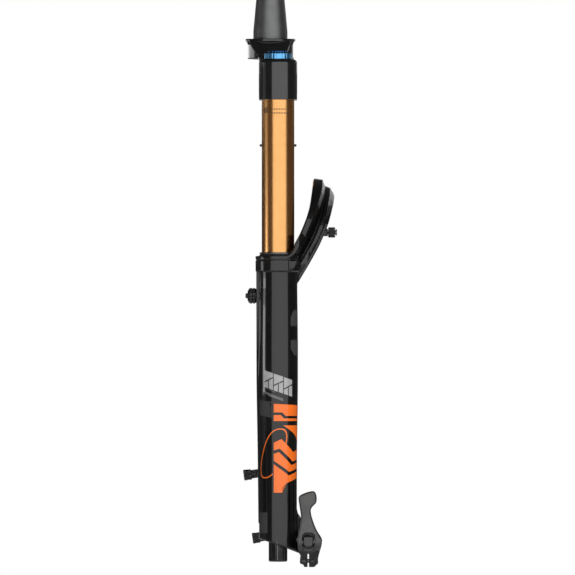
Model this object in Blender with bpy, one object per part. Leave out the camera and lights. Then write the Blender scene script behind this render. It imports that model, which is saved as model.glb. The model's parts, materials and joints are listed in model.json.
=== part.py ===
"""A long-travel single-crown suspension fork for a mountain bike, as separate solids.

The frame is metres with +X forwards, +Y to the rider's left and +Z up along the steerer.
The origin is on the steerer's axis, in the plane of the crown race seat.
Sizes below are in millimetres times MM, and heights are Z values in that frame.
"""

import math

import bmesh
import bpy
from mathutils import Vector

MM = 0.001
GAP = 0.3 * MM  # clearance kept between neighbouring pieces

# Driving dimensions
AXLE_Z = -584.0 * MM  # axle-to-crown length
AXLE_X = 44.0 * MM  # fork offset
LEG_X = 8.9 * MM
LEG_Y = 75.0 * MM
HUB_HALF = 55.0 * MM  # half of the 110 mm hub width
STANCHION_R = 19.0 * MM
STANCHION_BORE_R = 16.4 * MM
STANCHION_TOP = -26.0 * MM
STANCHION_BOTTOM = -388.0 * MM
STEERER_TOP = 205.0 * MM
STEERER_SEAT_R = 19.9 * MM
STEERER_R = 14.3 * MM

# Crown
CROWN_TOP = -24.1 * MM  # top of a leg clamp
CROWN_BOTTOM = -71.3 * MM
CROWN_CLAMP_R = 22.3 * MM
BOSS_BOTTOM = -24.0 * MM

# Lower legs
COLLAR_TOP = -252.6 * MM
COLLAR_BOTTOM = -270.4 * MM
COLLAR_R = 26.4 * MM
LEG_BORE_R = 20.7 * MM
SEAL_SEAT_R = 23.2 * MM
SEAL_SEAT_Z = -268.0 * MM
LEG_FLOOR = -562.0 * MM  # bottom of the oil bore
FOOT_SEAT = -578.7 * MM  # ceiling of the recess for the foot nut
FOOT_RECESS_R = 11.3 * MM
WIPER_TOP = -248.3 * MM

# Axle and dropouts
AXLE_R = 7.5 * MM
BOSS_R = 14.5 * MM
DROPOUT_OUT = 77.0 * MM
SLEEVE_R = 10.0 * MM
NUT_SEAT = 66.0 * MM
PINCH_Y = -67.0 * MM  # the pinch bolt runs along X through here
PINCH_Z = -606.5 * MM
PIN_Y = -93.5 * MM  # lever pivot
EAR_R = 10.0 * MM
TONGUE_HALF = 5.6 * MM
SWING_R = 18.5 * MM  # clear space round the axle for the turning lever

# Disc brake posts on the left leg: 74.2 mm apart, faces tilted with their line
POST_Y = 61.0 * MM
POST_UPPER = Vector((-31.2 * MM, POST_Y, -508.1 * MM))
POST_LOWER = Vector((-21.0 * MM, POST_Y, -581.6 * MM))
POST_R = 6.5 * MM
POST_HOLE_R = 2.5 * MM

# Bleed valves at the back of each leg
BLEED_Z = -298.8 * MM
BLEED_BACK = LEG_X - 23.0 * MM

HOSE_SCREW = (0, 61 * MM, -225 * MM)  # the hose guide's screw runs along X through here
HOSE_CENTRE = (71.3 * MM, 72.5 * MM, 0)

FINE = 36  # facets on the large round parts
MEDIUM = 24
COARSE = 16

SIDES = {"left": 1, "right": -1}


def clear_scene():
    for obj in list(bpy.data.objects):
        bpy.data.objects.remove(obj, do_unlink=True)


def make_material(name, colour, roughness, metallic):
    material = bpy.data.materials.new(name)
    material.use_nodes = True
    shader = material.node_tree.nodes["Principled BSDF"]
    shader.inputs["Base Color"].default_value = (*colour, 1.0)
    shader.inputs["Roughness"].default_value = roughness
    shader.inputs["Metallic"].default_value = metallic
    return material


def make_materials():
    return {
        "gloss_black": make_material("gloss_black", (0.010, 0.010, 0.011), 0.08, 0.0),
        "satin_black": make_material("satin_black", (0.022, 0.022, 0.023), 0.35, 0.6),
        "steerer_grey": make_material("steerer_grey", (0.10, 0.10, 0.10), 0.42, 0.9),
        "gold": make_material("gold", (0.72, 0.40, 0.16), 0.16, 1.0),
        "blue": make_material("blue", (0.05, 0.30, 0.62), 0.22, 1.0),
        "red": make_material("red", (0.55, 0.04, 0.03), 0.25, 1.0),
        "lever_grey": make_material("lever_grey", (0.10, 0.095, 0.105), 0.45, 0.7),
        "rubber": make_material("rubber", (0.015, 0.015, 0.015), 0.7, 0.0),
        "foam": make_material("foam", (0.30, 0.28, 0.24), 0.95, 0.0),
        "bearing": make_material("bearing", (0.16, 0.17, 0.15), 0.5, 0.3),
        "alloy": make_material("alloy", (0.62, 0.62, 0.62), 0.3, 1.0),
        "steel": make_material("steel", (0.30, 0.30, 0.31), 0.3, 1.0),
        "plastic": make_material("plastic", (0.03, 0.03, 0.03), 0.5, 0.0),
        "orange": make_material("orange", (0.75, 0.16, 0.02), 0.5, 0.0),
    }


MATERIALS = {}
AXIS_TURN = {
    "X": (0.0, math.pi / 2, 0.0),
    "Y": (-math.pi / 2, 0.0, 0.0),
    "Z": (0.0, 0.0, 0.0),
}


def add_object(name, bm, material):
    """Puts a bmesh into the scene as a named object with one material."""
    bmesh.ops.recalc_face_normals(bm, faces=bm.faces)
    mesh = bpy.data.meshes.new(name)
    bm.to_mesh(mesh)
    bm.free()
    obj = bpy.data.objects.new(name, mesh)
    bpy.context.scene.collection.objects.link(obj)
    if material:
        mesh.materials.append(MATERIALS[material])
    return obj


def turned(name, profile, material=None, at=(0, 0, 0), axis="Z", segments=MEDIUM):
    """A closed (radius, height) profile in metres, spun round an axis through at."""
    bm = bmesh.new()
    start = math.pi / segments  # puts a facet, not an edge, on each of the main planes
    ray = Vector((math.cos(start), math.sin(start), 0))
    verts = [bm.verts.new(ray * radius + Vector((0, 0, height))) for radius, height in profile]
    edges = [bm.edges.new((a, b)) for a, b in zip(verts, verts[1:] + verts[:1])]
    bmesh.ops.spin(
        bm,
        geom=verts + edges,
        cent=(0, 0, 0),
        axis=(0, 0, 1),
        angle=2 * math.pi,
        steps=segments,
        use_merge=True,
    )
    bmesh.ops.remove_doubles(bm, verts=bm.verts, dist=0.002 * MM)
    poles = [vert for vert in bm.verts if vert.co.xy.length < 0.001 * MM]
    bmesh.ops.dissolve_verts(bm, verts=poles)
    obj = add_object(name, bm, material)
    obj.data.shade_smooth()
    obj.data.set_sharp_from_angle(angle=math.radians(35))
    obj.location = at
    obj.rotation_euler = AXIS_TURN[axis]
    return obj


def rod(name, radius, low, high, material=None, at=(0, 0, 0), axis="Z", segments=MEDIUM, chamfer=0.0):
    """A solid cylinder from low to high along its axis."""
    c = chamfer
    if not c:
        profile = [(0, low), (radius, low), (radius, high), (0, high)]
    else:
        profile = [(0, low), (radius - c, low), (radius, low + c)]
        profile += [(radius, high - c), (radius - c, high), (0, high)]
    return turned(name, profile, material, at, axis, segments)


def tube(name, outer, inner, low, high, material=None, at=(0, 0, 0), axis="Z", segments=MEDIUM):
    """A plain ring or tube from low to high along its axis."""
    profile = [(inner, low), (outer, low), (outer, high), (inner, high)]
    return turned(name, profile, material, at, axis, segments)


def plate(name, outline, y_low, y_high, material=None, origin=(0, 0, 0)):
    """An (x, z) outline in metres, extruded along Y, with the object's origin where asked."""
    bm = bmesh.new()
    face = bm.faces.new([bm.verts.new((x, y_low, z)) for x, z in outline])
    grown = bmesh.ops.extrude_face_region(bm, geom=[face])
    moved = [g for g in grown["geom"] if isinstance(g, bmesh.types.BMVert)]
    bmesh.ops.translate(bm, verts=moved, vec=(0, y_high - y_low, 0))
    bmesh.ops.translate(bm, verts=bm.verts, vec=-Vector(origin))
    obj = add_object(name, bm, material)
    obj.location = origin
    return obj


def block(name, low, high, material=None):
    """A box between two corners."""
    outline = [(low[0], low[2]), (high[0], low[2]), (high[0], high[2]), (low[0], high[2])]
    return plate(name, outline, low[1], high[1], material)


def loft(name, sections, material=None):
    """A skin over equal-length loops of points, closed at both ends."""
    bm = bmesh.new()
    rings = [[bm.verts.new(point) for point in section] for section in sections]
    bm.faces.new(rings[0])
    bm.faces.new(list(reversed(rings[-1])))
    count = len(rings[0])
    for first, second in zip(rings, rings[1:]):
        for i in range(count):
            j = (i + 1) % count
            bm.faces.new((first[i], second[i], second[j], first[j]))
    return add_object(name, bm, material)


def combine(target, tool, operation):
    """Adds a Boolean modifier and turns its tool into a hidden guide."""
    modifier = target.modifiers.new(tool.name, "BOOLEAN")
    modifier.object = tool
    modifier.operation = operation
    modifier.solver = "EXACT"
    tool.hide_render = True
    tool.display_type = "WIRE"


def join(target, *tools):
    for tool in tools:
        combine(target, tool, "UNION")


def cut(target, *tools):
    for tool in tools:
        combine(target, tool, "DIFFERENCE")


def hex_nut(name, radius, bore, low, high, at):
    """A six-sided nut of the given corner radius, with a round bore."""
    nut = rod(name, radius, low, high, "satin_black", at=at, segments=6)
    cut(nut, rod(f"{name}_bore_guide", bore, low - 2 * MM, high + 2 * MM, at=at, segments=COARSE))


def leg_point(side, z=0.0):
    return (LEG_X, SIDES[side] * LEG_Y, z)


def smooth_path(points, steps):
    """A Catmull-Rom curve through points, with steps samples on each span."""
    ends = [2 * points[0] - points[1], *points, 2 * points[-1] - points[-2]]
    path = []
    for a, b, c, d in zip(ends, ends[1:], ends[2:], ends[3:]):
        for step in range(steps):
            t = step / steps
            path.append(
                0.5 * (2 * b + (c - a) * t + (2 * a - 5 * b + 4 * c - d) * t**2
                       + (3 * b - a - 3 * c + d) * t**3)
            )
    return path + [points[-1]]


# Steerer, crown and stanchions


def build_steerer():
    seat, top = STEERER_SEAT_R, STEERER_R
    profile = [
        (15.4 * MM, BOSS_BOTTOM),
        (seat, BOSS_BOTTOM),
        (seat, 8.0 * MM),
        (19.2 * MM, 16.0 * MM),
        (18.3 * MM, 26.0 * MM),
        (top, 70.0 * MM),
        (top, STEERER_TOP - 1.0 * MM),
        (top - 1.0 * MM, STEERER_TOP),
        (11.6 * MM, STEERER_TOP),
        (11.6 * MM, 68.0 * MM),
        (15.4 * MM, 24.0 * MM),
    ]
    turned("steerer_tube", profile, "steerer_grey", segments=FINE)


def crown_section(y, back, front, top, bottom):
    """A section of the crown beam in the XZ plane at y, narrower at its foot than at its top."""
    corner = 4 * MM
    foot = -8 * MM
    return [
        (foot + corner, y, bottom), (front - 2 * corner, y, bottom),
        (front - corner, y, bottom + corner), (front, y, top - corner),
        (front - corner, y, top), (back + corner, y, top),
        (back, y, top - corner), (foot, y, bottom + corner),
    ]


def build_crown():
    stations = [  # distance along Y, then back, front, top and bottom, in mm
        (0, -23.8, 24, -1.2, -30),
        (20, -23.4, 24, -1.8, -34),
        (38, -18, 24.5, -11, -45),
        (54, -11.5, 26, -22.5, -58),
        (72, -9, 26.5, -26, -66),
    ]
    beam = []
    for side in (-1, 1):
        rows = stations[:0:-1] if side < 0 else stations
        beam += [
            crown_section(side * y * MM, *(value * MM for value in rest))
            for y, *rest in rows
        ]
    crown = loft("crown", beam, "gloss_black")
    boss_profile = [
        (0, BOSS_BOTTOM + 0.4 * MM), (25.0 * MM, BOSS_BOTTOM + 0.4 * MM), (26.5 * MM, -22.0 * MM),
        (26.7 * MM, -5.0 * MM), (29.0 * MM, -3.0 * MM), (29.0 * MM, 0), (0, 0),
    ]
    join(crown, turned("crown_boss_guide", boss_profile, segments=FINE))
    for side in SIDES:
        clamp_profile = [
            (0, CROWN_BOTTOM), (21.8 * MM, CROWN_BOTTOM), (CROWN_CLAMP_R, CROWN_BOTTOM + 2 * MM),
            (CROWN_CLAMP_R, CROWN_TOP - 4 * MM), (CROWN_CLAMP_R - 3.6 * MM, CROWN_TOP), (0, CROWN_TOP),
        ]
        join(crown, turned(f"crown_clamp_{side}_guide", clamp_profile, at=leg_point(side), segments=FINE))
    for side in SIDES:
        bore = rod(f"crown_bore_{side}_guide", STANCHION_R + GAP, -90 * MM, 5 * MM,
                   at=leg_point(side), segments=FINE)
        cut(crown, bore)
    cut(crown, rod("steerer_bore_guide", STEERER_SEAT_R + GAP, -60 * MM, 20 * MM, segments=FINE))


def build_stanchions():
    for side in SIDES:
        tube(f"stanchion_{side}", STANCHION_R, STANCHION_BORE_R, STANCHION_BOTTOM, STANCHION_TOP,
             "gold", at=leg_point(side), segments=FINE)


# Air spring in the left leg


def build_air_spring():
    at = leg_point("left")
    plug_r = STANCHION_BORE_R - GAP
    cap_base = STANCHION_TOP + GAP
    valve_top = -12.0 * MM
    turned("air_top_cap", [
        (4.3 * MM, -44 * MM), (plug_r, -44 * MM), (plug_r, cap_base), (18.6 * MM, cap_base),
        (18.6 * MM, -22.2 * MM), (17.4 * MM, -21.0 * MM), (4.3 * MM, -21.0 * MM),
    ], "gloss_black", at=at)
    turned("air_valve", [
        (1.5 * MM, -40 * MM), (4.0 * MM, -40 * MM), (4.0 * MM, valve_top - 0.6 * MM),
        (3.4 * MM, valve_top), (1.5 * MM, valve_top),
    ], "alloy", at=at, segments=COARSE)
    rod("valve_core_pin", 1.1 * MM, -38 * MM, -12.4 * MM, "alloy", at=at, segments=12)
    turned("air_valve_cap", [
        (0, -9.9 * MM), (4.5 * MM, -9.9 * MM), (4.5 * MM, -20.7 * MM), (9.2 * MM, -20.7 * MM),
        (9.2 * MM, -9.6 * MM), (8.0 * MM, -8.3 * MM), (0, -8.3 * MM),
    ], "gloss_black", at=at)
    for name, top in (("volume_spacer_upper", -44.3), ("volume_spacer_lower", -58.6)):
        tube(name, 15.2 * MM, 6.0 * MM, (top - 14) * MM, top * MM, "orange", at=at, segments=COARSE)

    shaft_r = 5.0 * MM
    seal_bore = shaft_r + GAP
    turned("air_seal_head", [
        (seal_bore, -386 * MM), (14.0 * MM, -386 * MM), (14.0 * MM, -382 * MM), (plug_r, -382 * MM),
        (plug_r, -366 * MM), (seal_bore, -366 * MM),
    ], "alloy", at=at, segments=COARSE)
    tube("seal_head_clip", plug_r, 14.3 * MM, -385 * MM, -383 * MM, "steel", at=at, segments=COARSE)
    tube("top_out_bumper", 9.0 * MM, seal_bore, -365.7 * MM, -356.3 * MM, "rubber", at=at, segments=COARSE)
    tube("air_piston", plug_r, seal_bore, -356.0 * MM, -338.0 * MM, "plastic", at=at, segments=MEDIUM)
    rod("air_shaft", shaft_r, -588 * MM, -335 * MM, "alloy", at=at, segments=COARSE, chamfer=0.6 * MM)
    hex_nut("air_foot_nut", 9.5 * MM, seal_bore, -587 * MM, FOOT_SEAT - GAP, at)


# Damper in the right leg


def build_damper():
    at = leg_point("right")
    plug_r = STANCHION_BORE_R - GAP
    cap_base = STANCHION_TOP + GAP
    turned("damper_top_cap", [
        (0, -46 * MM), (plug_r, -46 * MM), (plug_r, cap_base), (18.6 * MM, cap_base),
        (18.6 * MM, -24.4 * MM), (0, -24.4 * MM),
    ], "satin_black", at=at)
    turned("high_speed_compression_knob", [
        (3.0 * MM, -24.1 * MM), (16.2 * MM, -24.1 * MM), (16.2 * MM, -18.8 * MM),
        (14.6 * MM, -17.2 * MM), (3.0 * MM, -17.2 * MM),
    ], "blue", at=at)
    turned("low_speed_compression_knob", [
        (0, -24.1 * MM), (2.7 * MM, -24.1 * MM), (2.7 * MM, -16.9 * MM), (11.0 * MM, -16.9 * MM),
        (11.0 * MM, -15.2 * MM), (10.2 * MM, -14.4 * MM), (0, -14.4 * MM),
    ], "blue", at=at)
    tube("damper_cartridge", 14.0 * MM, 12.6 * MM, -369.7 * MM, -46.3 * MM, "alloy", at=at)
    turned("base_valve", [
        (0, -98 * MM), (12.3 * MM, -98 * MM), (12.3 * MM, -84 * MM), (5.0 * MM, -84 * MM),
        (5.0 * MM, -46.3 * MM), (0, -46.3 * MM),
    ], "alloy", at=at, segments=COARSE)
    shaft_r = 5.0 * MM
    bore_r = 2.0 * MM
    seal_bore = shaft_r + GAP
    tube("damper_seal_head", plug_r, seal_bore, -387 * MM, -370 * MM, "alloy", at=at, segments=COARSE)
    tube("rebound_piston", 12.3 * MM, seal_bore, -364 * MM, -348 * MM, "bearing", at=at, segments=COARSE)
    tube("damper_shaft", shaft_r, bore_r, -585 * MM, -342 * MM, "alloy", at=at, segments=COARSE)
    hex_nut("damper_foot_nut", 8.6 * MM, seal_bore, -584 * MM, FOOT_SEAT - GAP, at)
    turned("high_speed_rebound_knob", [
        (2.9 * MM, -594 * MM), (9.0 * MM, -594 * MM), (9.0 * MM, -585.3 * MM), (2.9 * MM, -585.3 * MM),
    ], "red", at=at, segments=COARSE)
    turned("low_speed_rebound_knob", [
        (0, -604 * MM), (6.0 * MM, -604 * MM), (6.5 * MM, -603.2 * MM), (6.5 * MM, -594.3 * MM),
        (2.6 * MM, -594.3 * MM), (2.6 * MM, -586 * MM), (0, -586 * MM),
    ], "red", at=at, segments=COARSE)
    rod("rebound_adjuster_rod", 1.6 * MM, -585.7 * MM, -346 * MM, "steel", at=at, segments=12)
    turned("rebound_cover", [
        (9.8 * MM, -580 * MM), (9.8 * MM, -605.8 * MM), (0, -605.8 * MM), (0, -607.3 * MM),
        (9.6 * MM, -607.3 * MM), (10.9 * MM, -606.0 * MM), (10.9 * MM, -580 * MM),
    ], "gloss_black", at=at)


# Lower legs


def arch_path():
    """Centre line of the arch from the left leg over the top to the right leg."""
    half = [  # from the crest down into the leg, in mm
        (62.0, 0, -176), (61.6, 18, -179), (60.2, 36, -188), (55.6, 54, -208),
        (46.5, 64.5, -231), (36.5, 70, -250), (26.5, 73, -267), (15.0, 75, -286),
    ]
    left = [Vector(point) * MM for point in reversed(half)]
    right = [Vector((x, -y, z)) * MM for x, y, z in half[1:]]
    return smooth_path(left + right, 2)


def arch_sections():
    """Stepped sections of the arch: a tall rear rail and a lower, sloping front rail."""
    rail = [
        (-13, -9), (-13, 8), (-9.5, 12), (-2.5, 12), (1, 5.5),
        (7, 4), (13.5, -5), (13.5, -10), (9, -13), (-6, -12),
    ]
    path = arch_path()
    sections = []
    for i, centre in enumerate(path):
        tangent = (path[min(i + 1, len(path) - 1)] - path[max(i - 1, 0)]).normalized()
        lean = math.radians(8) + min(1.0, abs(centre.y) / (70 * MM)) ** 3 * math.radians(24)
        across = Vector((math.cos(lean), 0, -math.sin(lean)))
        outward = tangent.cross(across).normalized()
        sections.append([centre + across * u * MM + outward * v * MM for u, v in rail])
    return sections


def leg_profile():
    """Outer (radius, height) of a leg: seal collar, waist, swell and plain lower tube."""
    return [
        (0, -600 * MM), (22.0 * MM, -600 * MM), (22.0 * MM, -480 * MM), (23.2 * MM, -410 * MM),
        (23.2 * MM, -350 * MM), (22.5 * MM, -290 * MM), (22.8 * MM, -274 * MM),
        (COLLAR_R, COLLAR_BOTTOM), (COLLAR_R, COLLAR_TOP - 1 * MM),
        (COLLAR_R - 1 * MM, COLLAR_TOP), (0, COLLAR_TOP),
    ]


def bypass_rib(side):
    """The oil channel cast down the back of a leg, flatter towards its foot."""
    y = SIDES[side] * LEG_Y
    sections = []
    for z, back in ((-269, 25.3), (-400, 25.0), (-470, 23.8), (-560, 22.6)):
        centre_x = LEG_X - (back - 5.0) * MM
        sections.append([
            (centre_x + 5.0 * MM * math.cos(a), y + 5.0 * MM * math.sin(a), z * MM)
            for a in (math.tau * k / 12 for k in range(12))
        ])
    return loft(f"bypass_rib_{side}_guide", sections)


def dropout(side):
    """Web, hub boss and, on the right, the pinch lugs below the axle."""
    outline = [
        (10, -546), (30, -548), (32.5, -553), (35.5, -557), (42, -568), (50, -577),
        (50, -593), (35, -598), (18.9, -591), (6, -586.5),
    ]
    inner, outer = HUB_HALF, DROPOUT_OUT
    low, high = (inner, outer) if side == "left" else (-outer, -inner)
    web = plate(f"dropout_web_{side}_guide", [(x * MM, z * MM) for x, z in outline],
                low + 1.5 * MM, high - 1.5 * MM)
    boss = rod(f"dropout_boss_{side}_guide", BOSS_R, low, high, at=(AXLE_X, 0, AXLE_Z),
               axis="Y", segments=MEDIUM)
    return [web, boss]


def pinch_lugs():
    x, z = AXLE_X, PINCH_Z
    outline = [
        (x - 9.6 * MM, z + 14 * MM), (x - 9.6 * MM, z - 3 * MM), (x - 5.2 * MM, z - 7.3 * MM),
        (x + 7.0 * MM, z - 7.3 * MM), (x + 11.6 * MM, z - 2.7 * MM), (x + 11.6 * MM, z + 4 * MM),
        (x + 10.4 * MM, z + 14 * MM),
    ]
    return plate("pinch_lugs_guide", outline, -DROPOUT_OUT + 2.5 * MM, -HUB_HALF - 4 * MM)


def post_frame():
    """Unit direction from a post's face into the leg."""
    line = (POST_LOWER - POST_UPPER).normalized()
    return Vector((-line.z, 0, line.x))


def brake_post(name, face, length):
    inward = post_frame()
    post = rod(name, POST_R, 0, length, segments=COARSE, chamfer=0.6 * MM)
    post.location = face
    post.rotation_euler = inward.to_track_quat("Z", "Y").to_euler()
    return post


def build_lower_casting():
    casting = loft("lower_casting", arch_sections(), "gloss_black")
    for side in SIDES:
        at = leg_point(side)
        join(casting, turned(f"leg_{side}_guide", leg_profile(), at=at, segments=FINE))
    foot = [(-40 * MM, -571.6 * MM), (60 * MM, -604.9 * MM), (60 * MM, -640 * MM), (-40 * MM, -640 * MM)]
    cut(casting, plate("foot_slant_guide", foot, -110 * MM, 110 * MM))
    for side in SIDES:
        join(casting, bypass_rib(side), *dropout(side))
        bleed_boss = rod(f"bleed_boss_{side}_guide", 7.5 * MM, -14 * MM, 2.0 * MM,
                         at=(BLEED_BACK, SIDES[side] * LEG_Y, BLEED_Z), axis="X", segments=COARSE)
        bleed_boss.rotation_euler = (0, -math.pi / 2, 0)
        join(casting, bleed_boss)
    join(casting, pinch_lugs())
    join(casting, brake_post("post_upper_guide", POST_UPPER, 32 * MM))
    join(casting, brake_post("post_lower_guide", POST_LOWER, 26 * MM))
    hose_boss = rod("hose_boss_guide", 4.5 * MM, 46 * MM, 67 * MM, at=HOSE_SCREW,
                    axis="X", segments=COARSE)
    join(casting, hose_boss)
    cut_lower_casting(casting)


def cut_lower_casting(casting):
    for side in SIDES:
        at = leg_point(side)
        turned_bore = turned(f"leg_bore_{side}_guide", [
            (0, LEG_FLOOR), (LEG_BORE_R, LEG_FLOOR), (LEG_BORE_R, SEAL_SEAT_Z),
            (SEAL_SEAT_R, SEAL_SEAT_Z), (SEAL_SEAT_R, -150 * MM), (0, -150 * MM),
        ], at=at, segments=FINE)
        foot_hole = turned(f"foot_hole_{side}_guide", [
            (0, -640 * MM), (FOOT_RECESS_R, -640 * MM), (FOOT_RECESS_R, FOOT_SEAT),
            (5.3 * MM, FOOT_SEAT), (5.3 * MM, LEG_FLOOR + 5 * MM), (0, LEG_FLOOR + 5 * MM),
        ], at=at, segments=MEDIUM)
        bleed_hole = rod(f"bleed_hole_{side}_guide", 4.3 * MM, -2.3 * MM, 20 * MM,
                         at=(BLEED_BACK, SIDES[side] * LEG_Y, BLEED_Z), axis="X", segments=COARSE)
        bleed_hole.rotation_euler = (0, -math.pi / 2, 0)
        cut(casting, turned_bore, foot_hole, bleed_hole)
    axle_centre = (AXLE_X, 0, AXLE_Z)
    wide = SLEEVE_R + GAP
    narrow = AXLE_R + GAP
    cut(casting, rod("sleeve_bore_guide", wide, -100 * MM, -50 * MM, at=axle_centre, axis="Y"))
    cut(casting, rod("lever_swing_guide", SWING_R, -110 * MM, -DROPOUT_OUT - 0.2 * MM, at=axle_centre,
                     axis="Y", segments=FINE))
    cut(casting, turned("nut_bore_guide", [
        (0, 50 * MM), (narrow, 50 * MM), (narrow, NUT_SEAT), (wide, NUT_SEAT), (wide, 100 * MM),
        (0, 100 * MM),
    ], at=axle_centre, axis="Y"))
    cut(casting, block("pinch_slot_guide", (AXLE_X - 0.8 * MM, -85 * MM, -630 * MM),
                       (AXLE_X + 0.8 * MM, -50 * MM, AXLE_Z)))
    cut(casting, turned("pinch_hole_guide", [
        (0, 20 * MM), (2.7 * MM, 20 * MM), (2.7 * MM, 51.2 * MM), (4.1 * MM, 51.2 * MM),
        (4.1 * MM, 70 * MM), (0, 70 * MM),
    ], at=(0, PINCH_Y, PINCH_Z), axis="X", segments=COARSE))
    cut(casting, rod("lock_screw_hole_guide", 1.8 * MM, -30 * MM, 0,
                     at=(AXLE_X, 71 * MM, AXLE_Z), segments=12))
    for name, face in (("post_upper_hole_guide", POST_UPPER), ("post_lower_hole_guide", POST_LOWER)):
        hole = rod(name, POST_HOLE_R, -5 * MM, 15 * MM, segments=COARSE)
        hole.location = face
        hole.rotation_euler = post_frame().to_track_quat("Z", "Y").to_euler()
        cut(casting, hole)
    cut(casting, rod("hose_screw_hole_guide", 2.0 * MM, 57 * MM, 80 * MM,
                     at=HOSE_SCREW, axis="X", segments=12))


def build_leg_fittings():
    for side in SIDES:
        at = leg_point(side)
        inner = STANCHION_R + GAP
        turned(f"wiper_seal_{side}", [
            (inner, -259.5 * MM), (22.9 * MM, -259.5 * MM), (22.9 * MM, COLLAR_TOP + GAP),
            (21.2 * MM, COLLAR_TOP + GAP), (20.8 * MM, -249.6 * MM), (20.0 * MM, WIPER_TOP),
            (inner, WIPER_TOP),
        ], "rubber", at=at, segments=FINE)
        tube(f"foam_ring_{side}", 22.9 * MM, inner, -267.6 * MM, -259.9 * MM, "foam", at=at, segments=MEDIUM)
        for place, top in (("upper", -269.0), ("lower", -352.0)):
            tube(f"bushing_{place}_{side}", LEG_BORE_R - GAP, inner, (top - 20) * MM, top * MM,
                 "bearing", at=at, segments=FINE)


def build_bleed_valves():
    for side in SIDES:
        at = (BLEED_BACK, SIDES[side] * LEG_Y, BLEED_Z)
        valve = turned(f"bleed_valve_{side}", [
            (3.2 * MM, 2.3 * MM), (9.2 * MM, 2.3 * MM), (9.2 * MM, 9.0 * MM), (7.6 * MM, 11.5 * MM),
            (3.2 * MM, 11.5 * MM),
        ], "satin_black", at=at, segments=MEDIUM)
        button = turned(f"bleed_button_{side}", [
            (0, 3.2 * MM), (2.9 * MM, 3.2 * MM), (2.9 * MM, 14.0 * MM), (2.2 * MM, 14.8 * MM),
            (0, 14.8 * MM),
        ], "satin_black", at=at, segments=COARSE)
        for piece in (valve, button):
            piece.rotation_euler = (0, -math.pi / 2, 0)


def build_hose_guide():
    """A clamp on the front of the arch's left arm, with a round channel for the brake hose."""
    outline = [
        (67.3 * MM, -231 * MM), (74.6 * MM, -231 * MM), (75.6 * MM, -230 * MM),
        (75.6 * MM, -220 * MM), (74.6 * MM, -219 * MM), (67.3 * MM, -219 * MM),
    ]
    guide = plate("hose_guide", outline, 55 * MM, 78 * MM, "plastic")
    cut(guide, rod("hose_channel_guide", 3.3 * MM, -240 * MM, -210 * MM, at=HOSE_CENTRE,
                   segments=COARSE))
    x, y, _ = HOSE_CENTRE
    cut(guide, block("hose_mouth_guide", (x - 6 * MM, y - 2.2 * MM, -240 * MM),
                     (x, y + 2.2 * MM, -210 * MM)))
    cut(guide, rod("guide_screw_hole_guide", 2.1 * MM, 60 * MM, 90 * MM, at=HOSE_SCREW,
                   axis="X", segments=12))
    turned("hose_guide_screw", [
        (0, 58.5 * MM), (1.7 * MM, 58.5 * MM), (1.7 * MM, 75.7 * MM), (3.6 * MM, 75.7 * MM),
        (3.6 * MM, 77.6 * MM), (0, 77.6 * MM),
    ], "steel", at=HOSE_SCREW, axis="X", segments=12)


# Axle


def lever_outline():
    """The lever's face in (x, z) millimetres, clockwise from the paddle's inner corner."""
    return [
        (33.0, -532), (35.5, -529.5), (39.7, -527.3), (45, -525.6), (49.4, -525.0), (51.8, -526.4),
        (53.3, -530), (53.8, -535), (52.9, -539), (49, -543), (47.1, -546.5), (47.4, -552),
        (50, -561), (53, -569), (57.5, -576.5), (58.5, -584), (31.4, -584), (32.1, -576),
        (34.6, -563), (35.6, -554), (34.4, -544), (33.0, -536),
    ]


def build_lever():
    pivot = (AXLE_X, PIN_Y, AXLE_Z)
    arm_out, arm_in = PIN_Y - 10.0 * MM, PIN_Y - 4.4 * MM
    lever = plate("axle_lever", [(x * MM, z * MM) for x, z in lever_outline()], arm_out, arm_in,
                  "lever_grey", origin=pivot)
    join(lever, rod("lever_hub_guide", EAR_R, -13.0 * MM, 16.0 * MM, at=pivot, axis="X",
                    segments=MEDIUM, chamfer=2.0 * MM))
    slot = TONGUE_HALF + 1.4 * MM
    cut(lever, block("lever_slot_guide", (AXLE_X - slot, PIN_Y - 30 * MM, AXLE_Z - 30 * MM),
                     (AXLE_X + slot, PIN_Y + 30 * MM, AXLE_Z + 4.5 * MM)))
    cut(lever, rod("lever_arch_guide", slot, -30 * MM, 30 * MM, at=(AXLE_X, PIN_Y, AXLE_Z + 4.5 * MM),
                   axis="Y", segments=MEDIUM))
    cut(lever, rod("lever_pin_hole_guide", 2.8 * MM, -24 * MM, 36 * MM, at=pivot, axis="X",
                   segments=COARSE))
    rod("lever_pin", 2.5 * MM, -12.6 * MM, 15.6 * MM, "steel", at=pivot, axis="X", segments=COARSE)


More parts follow.
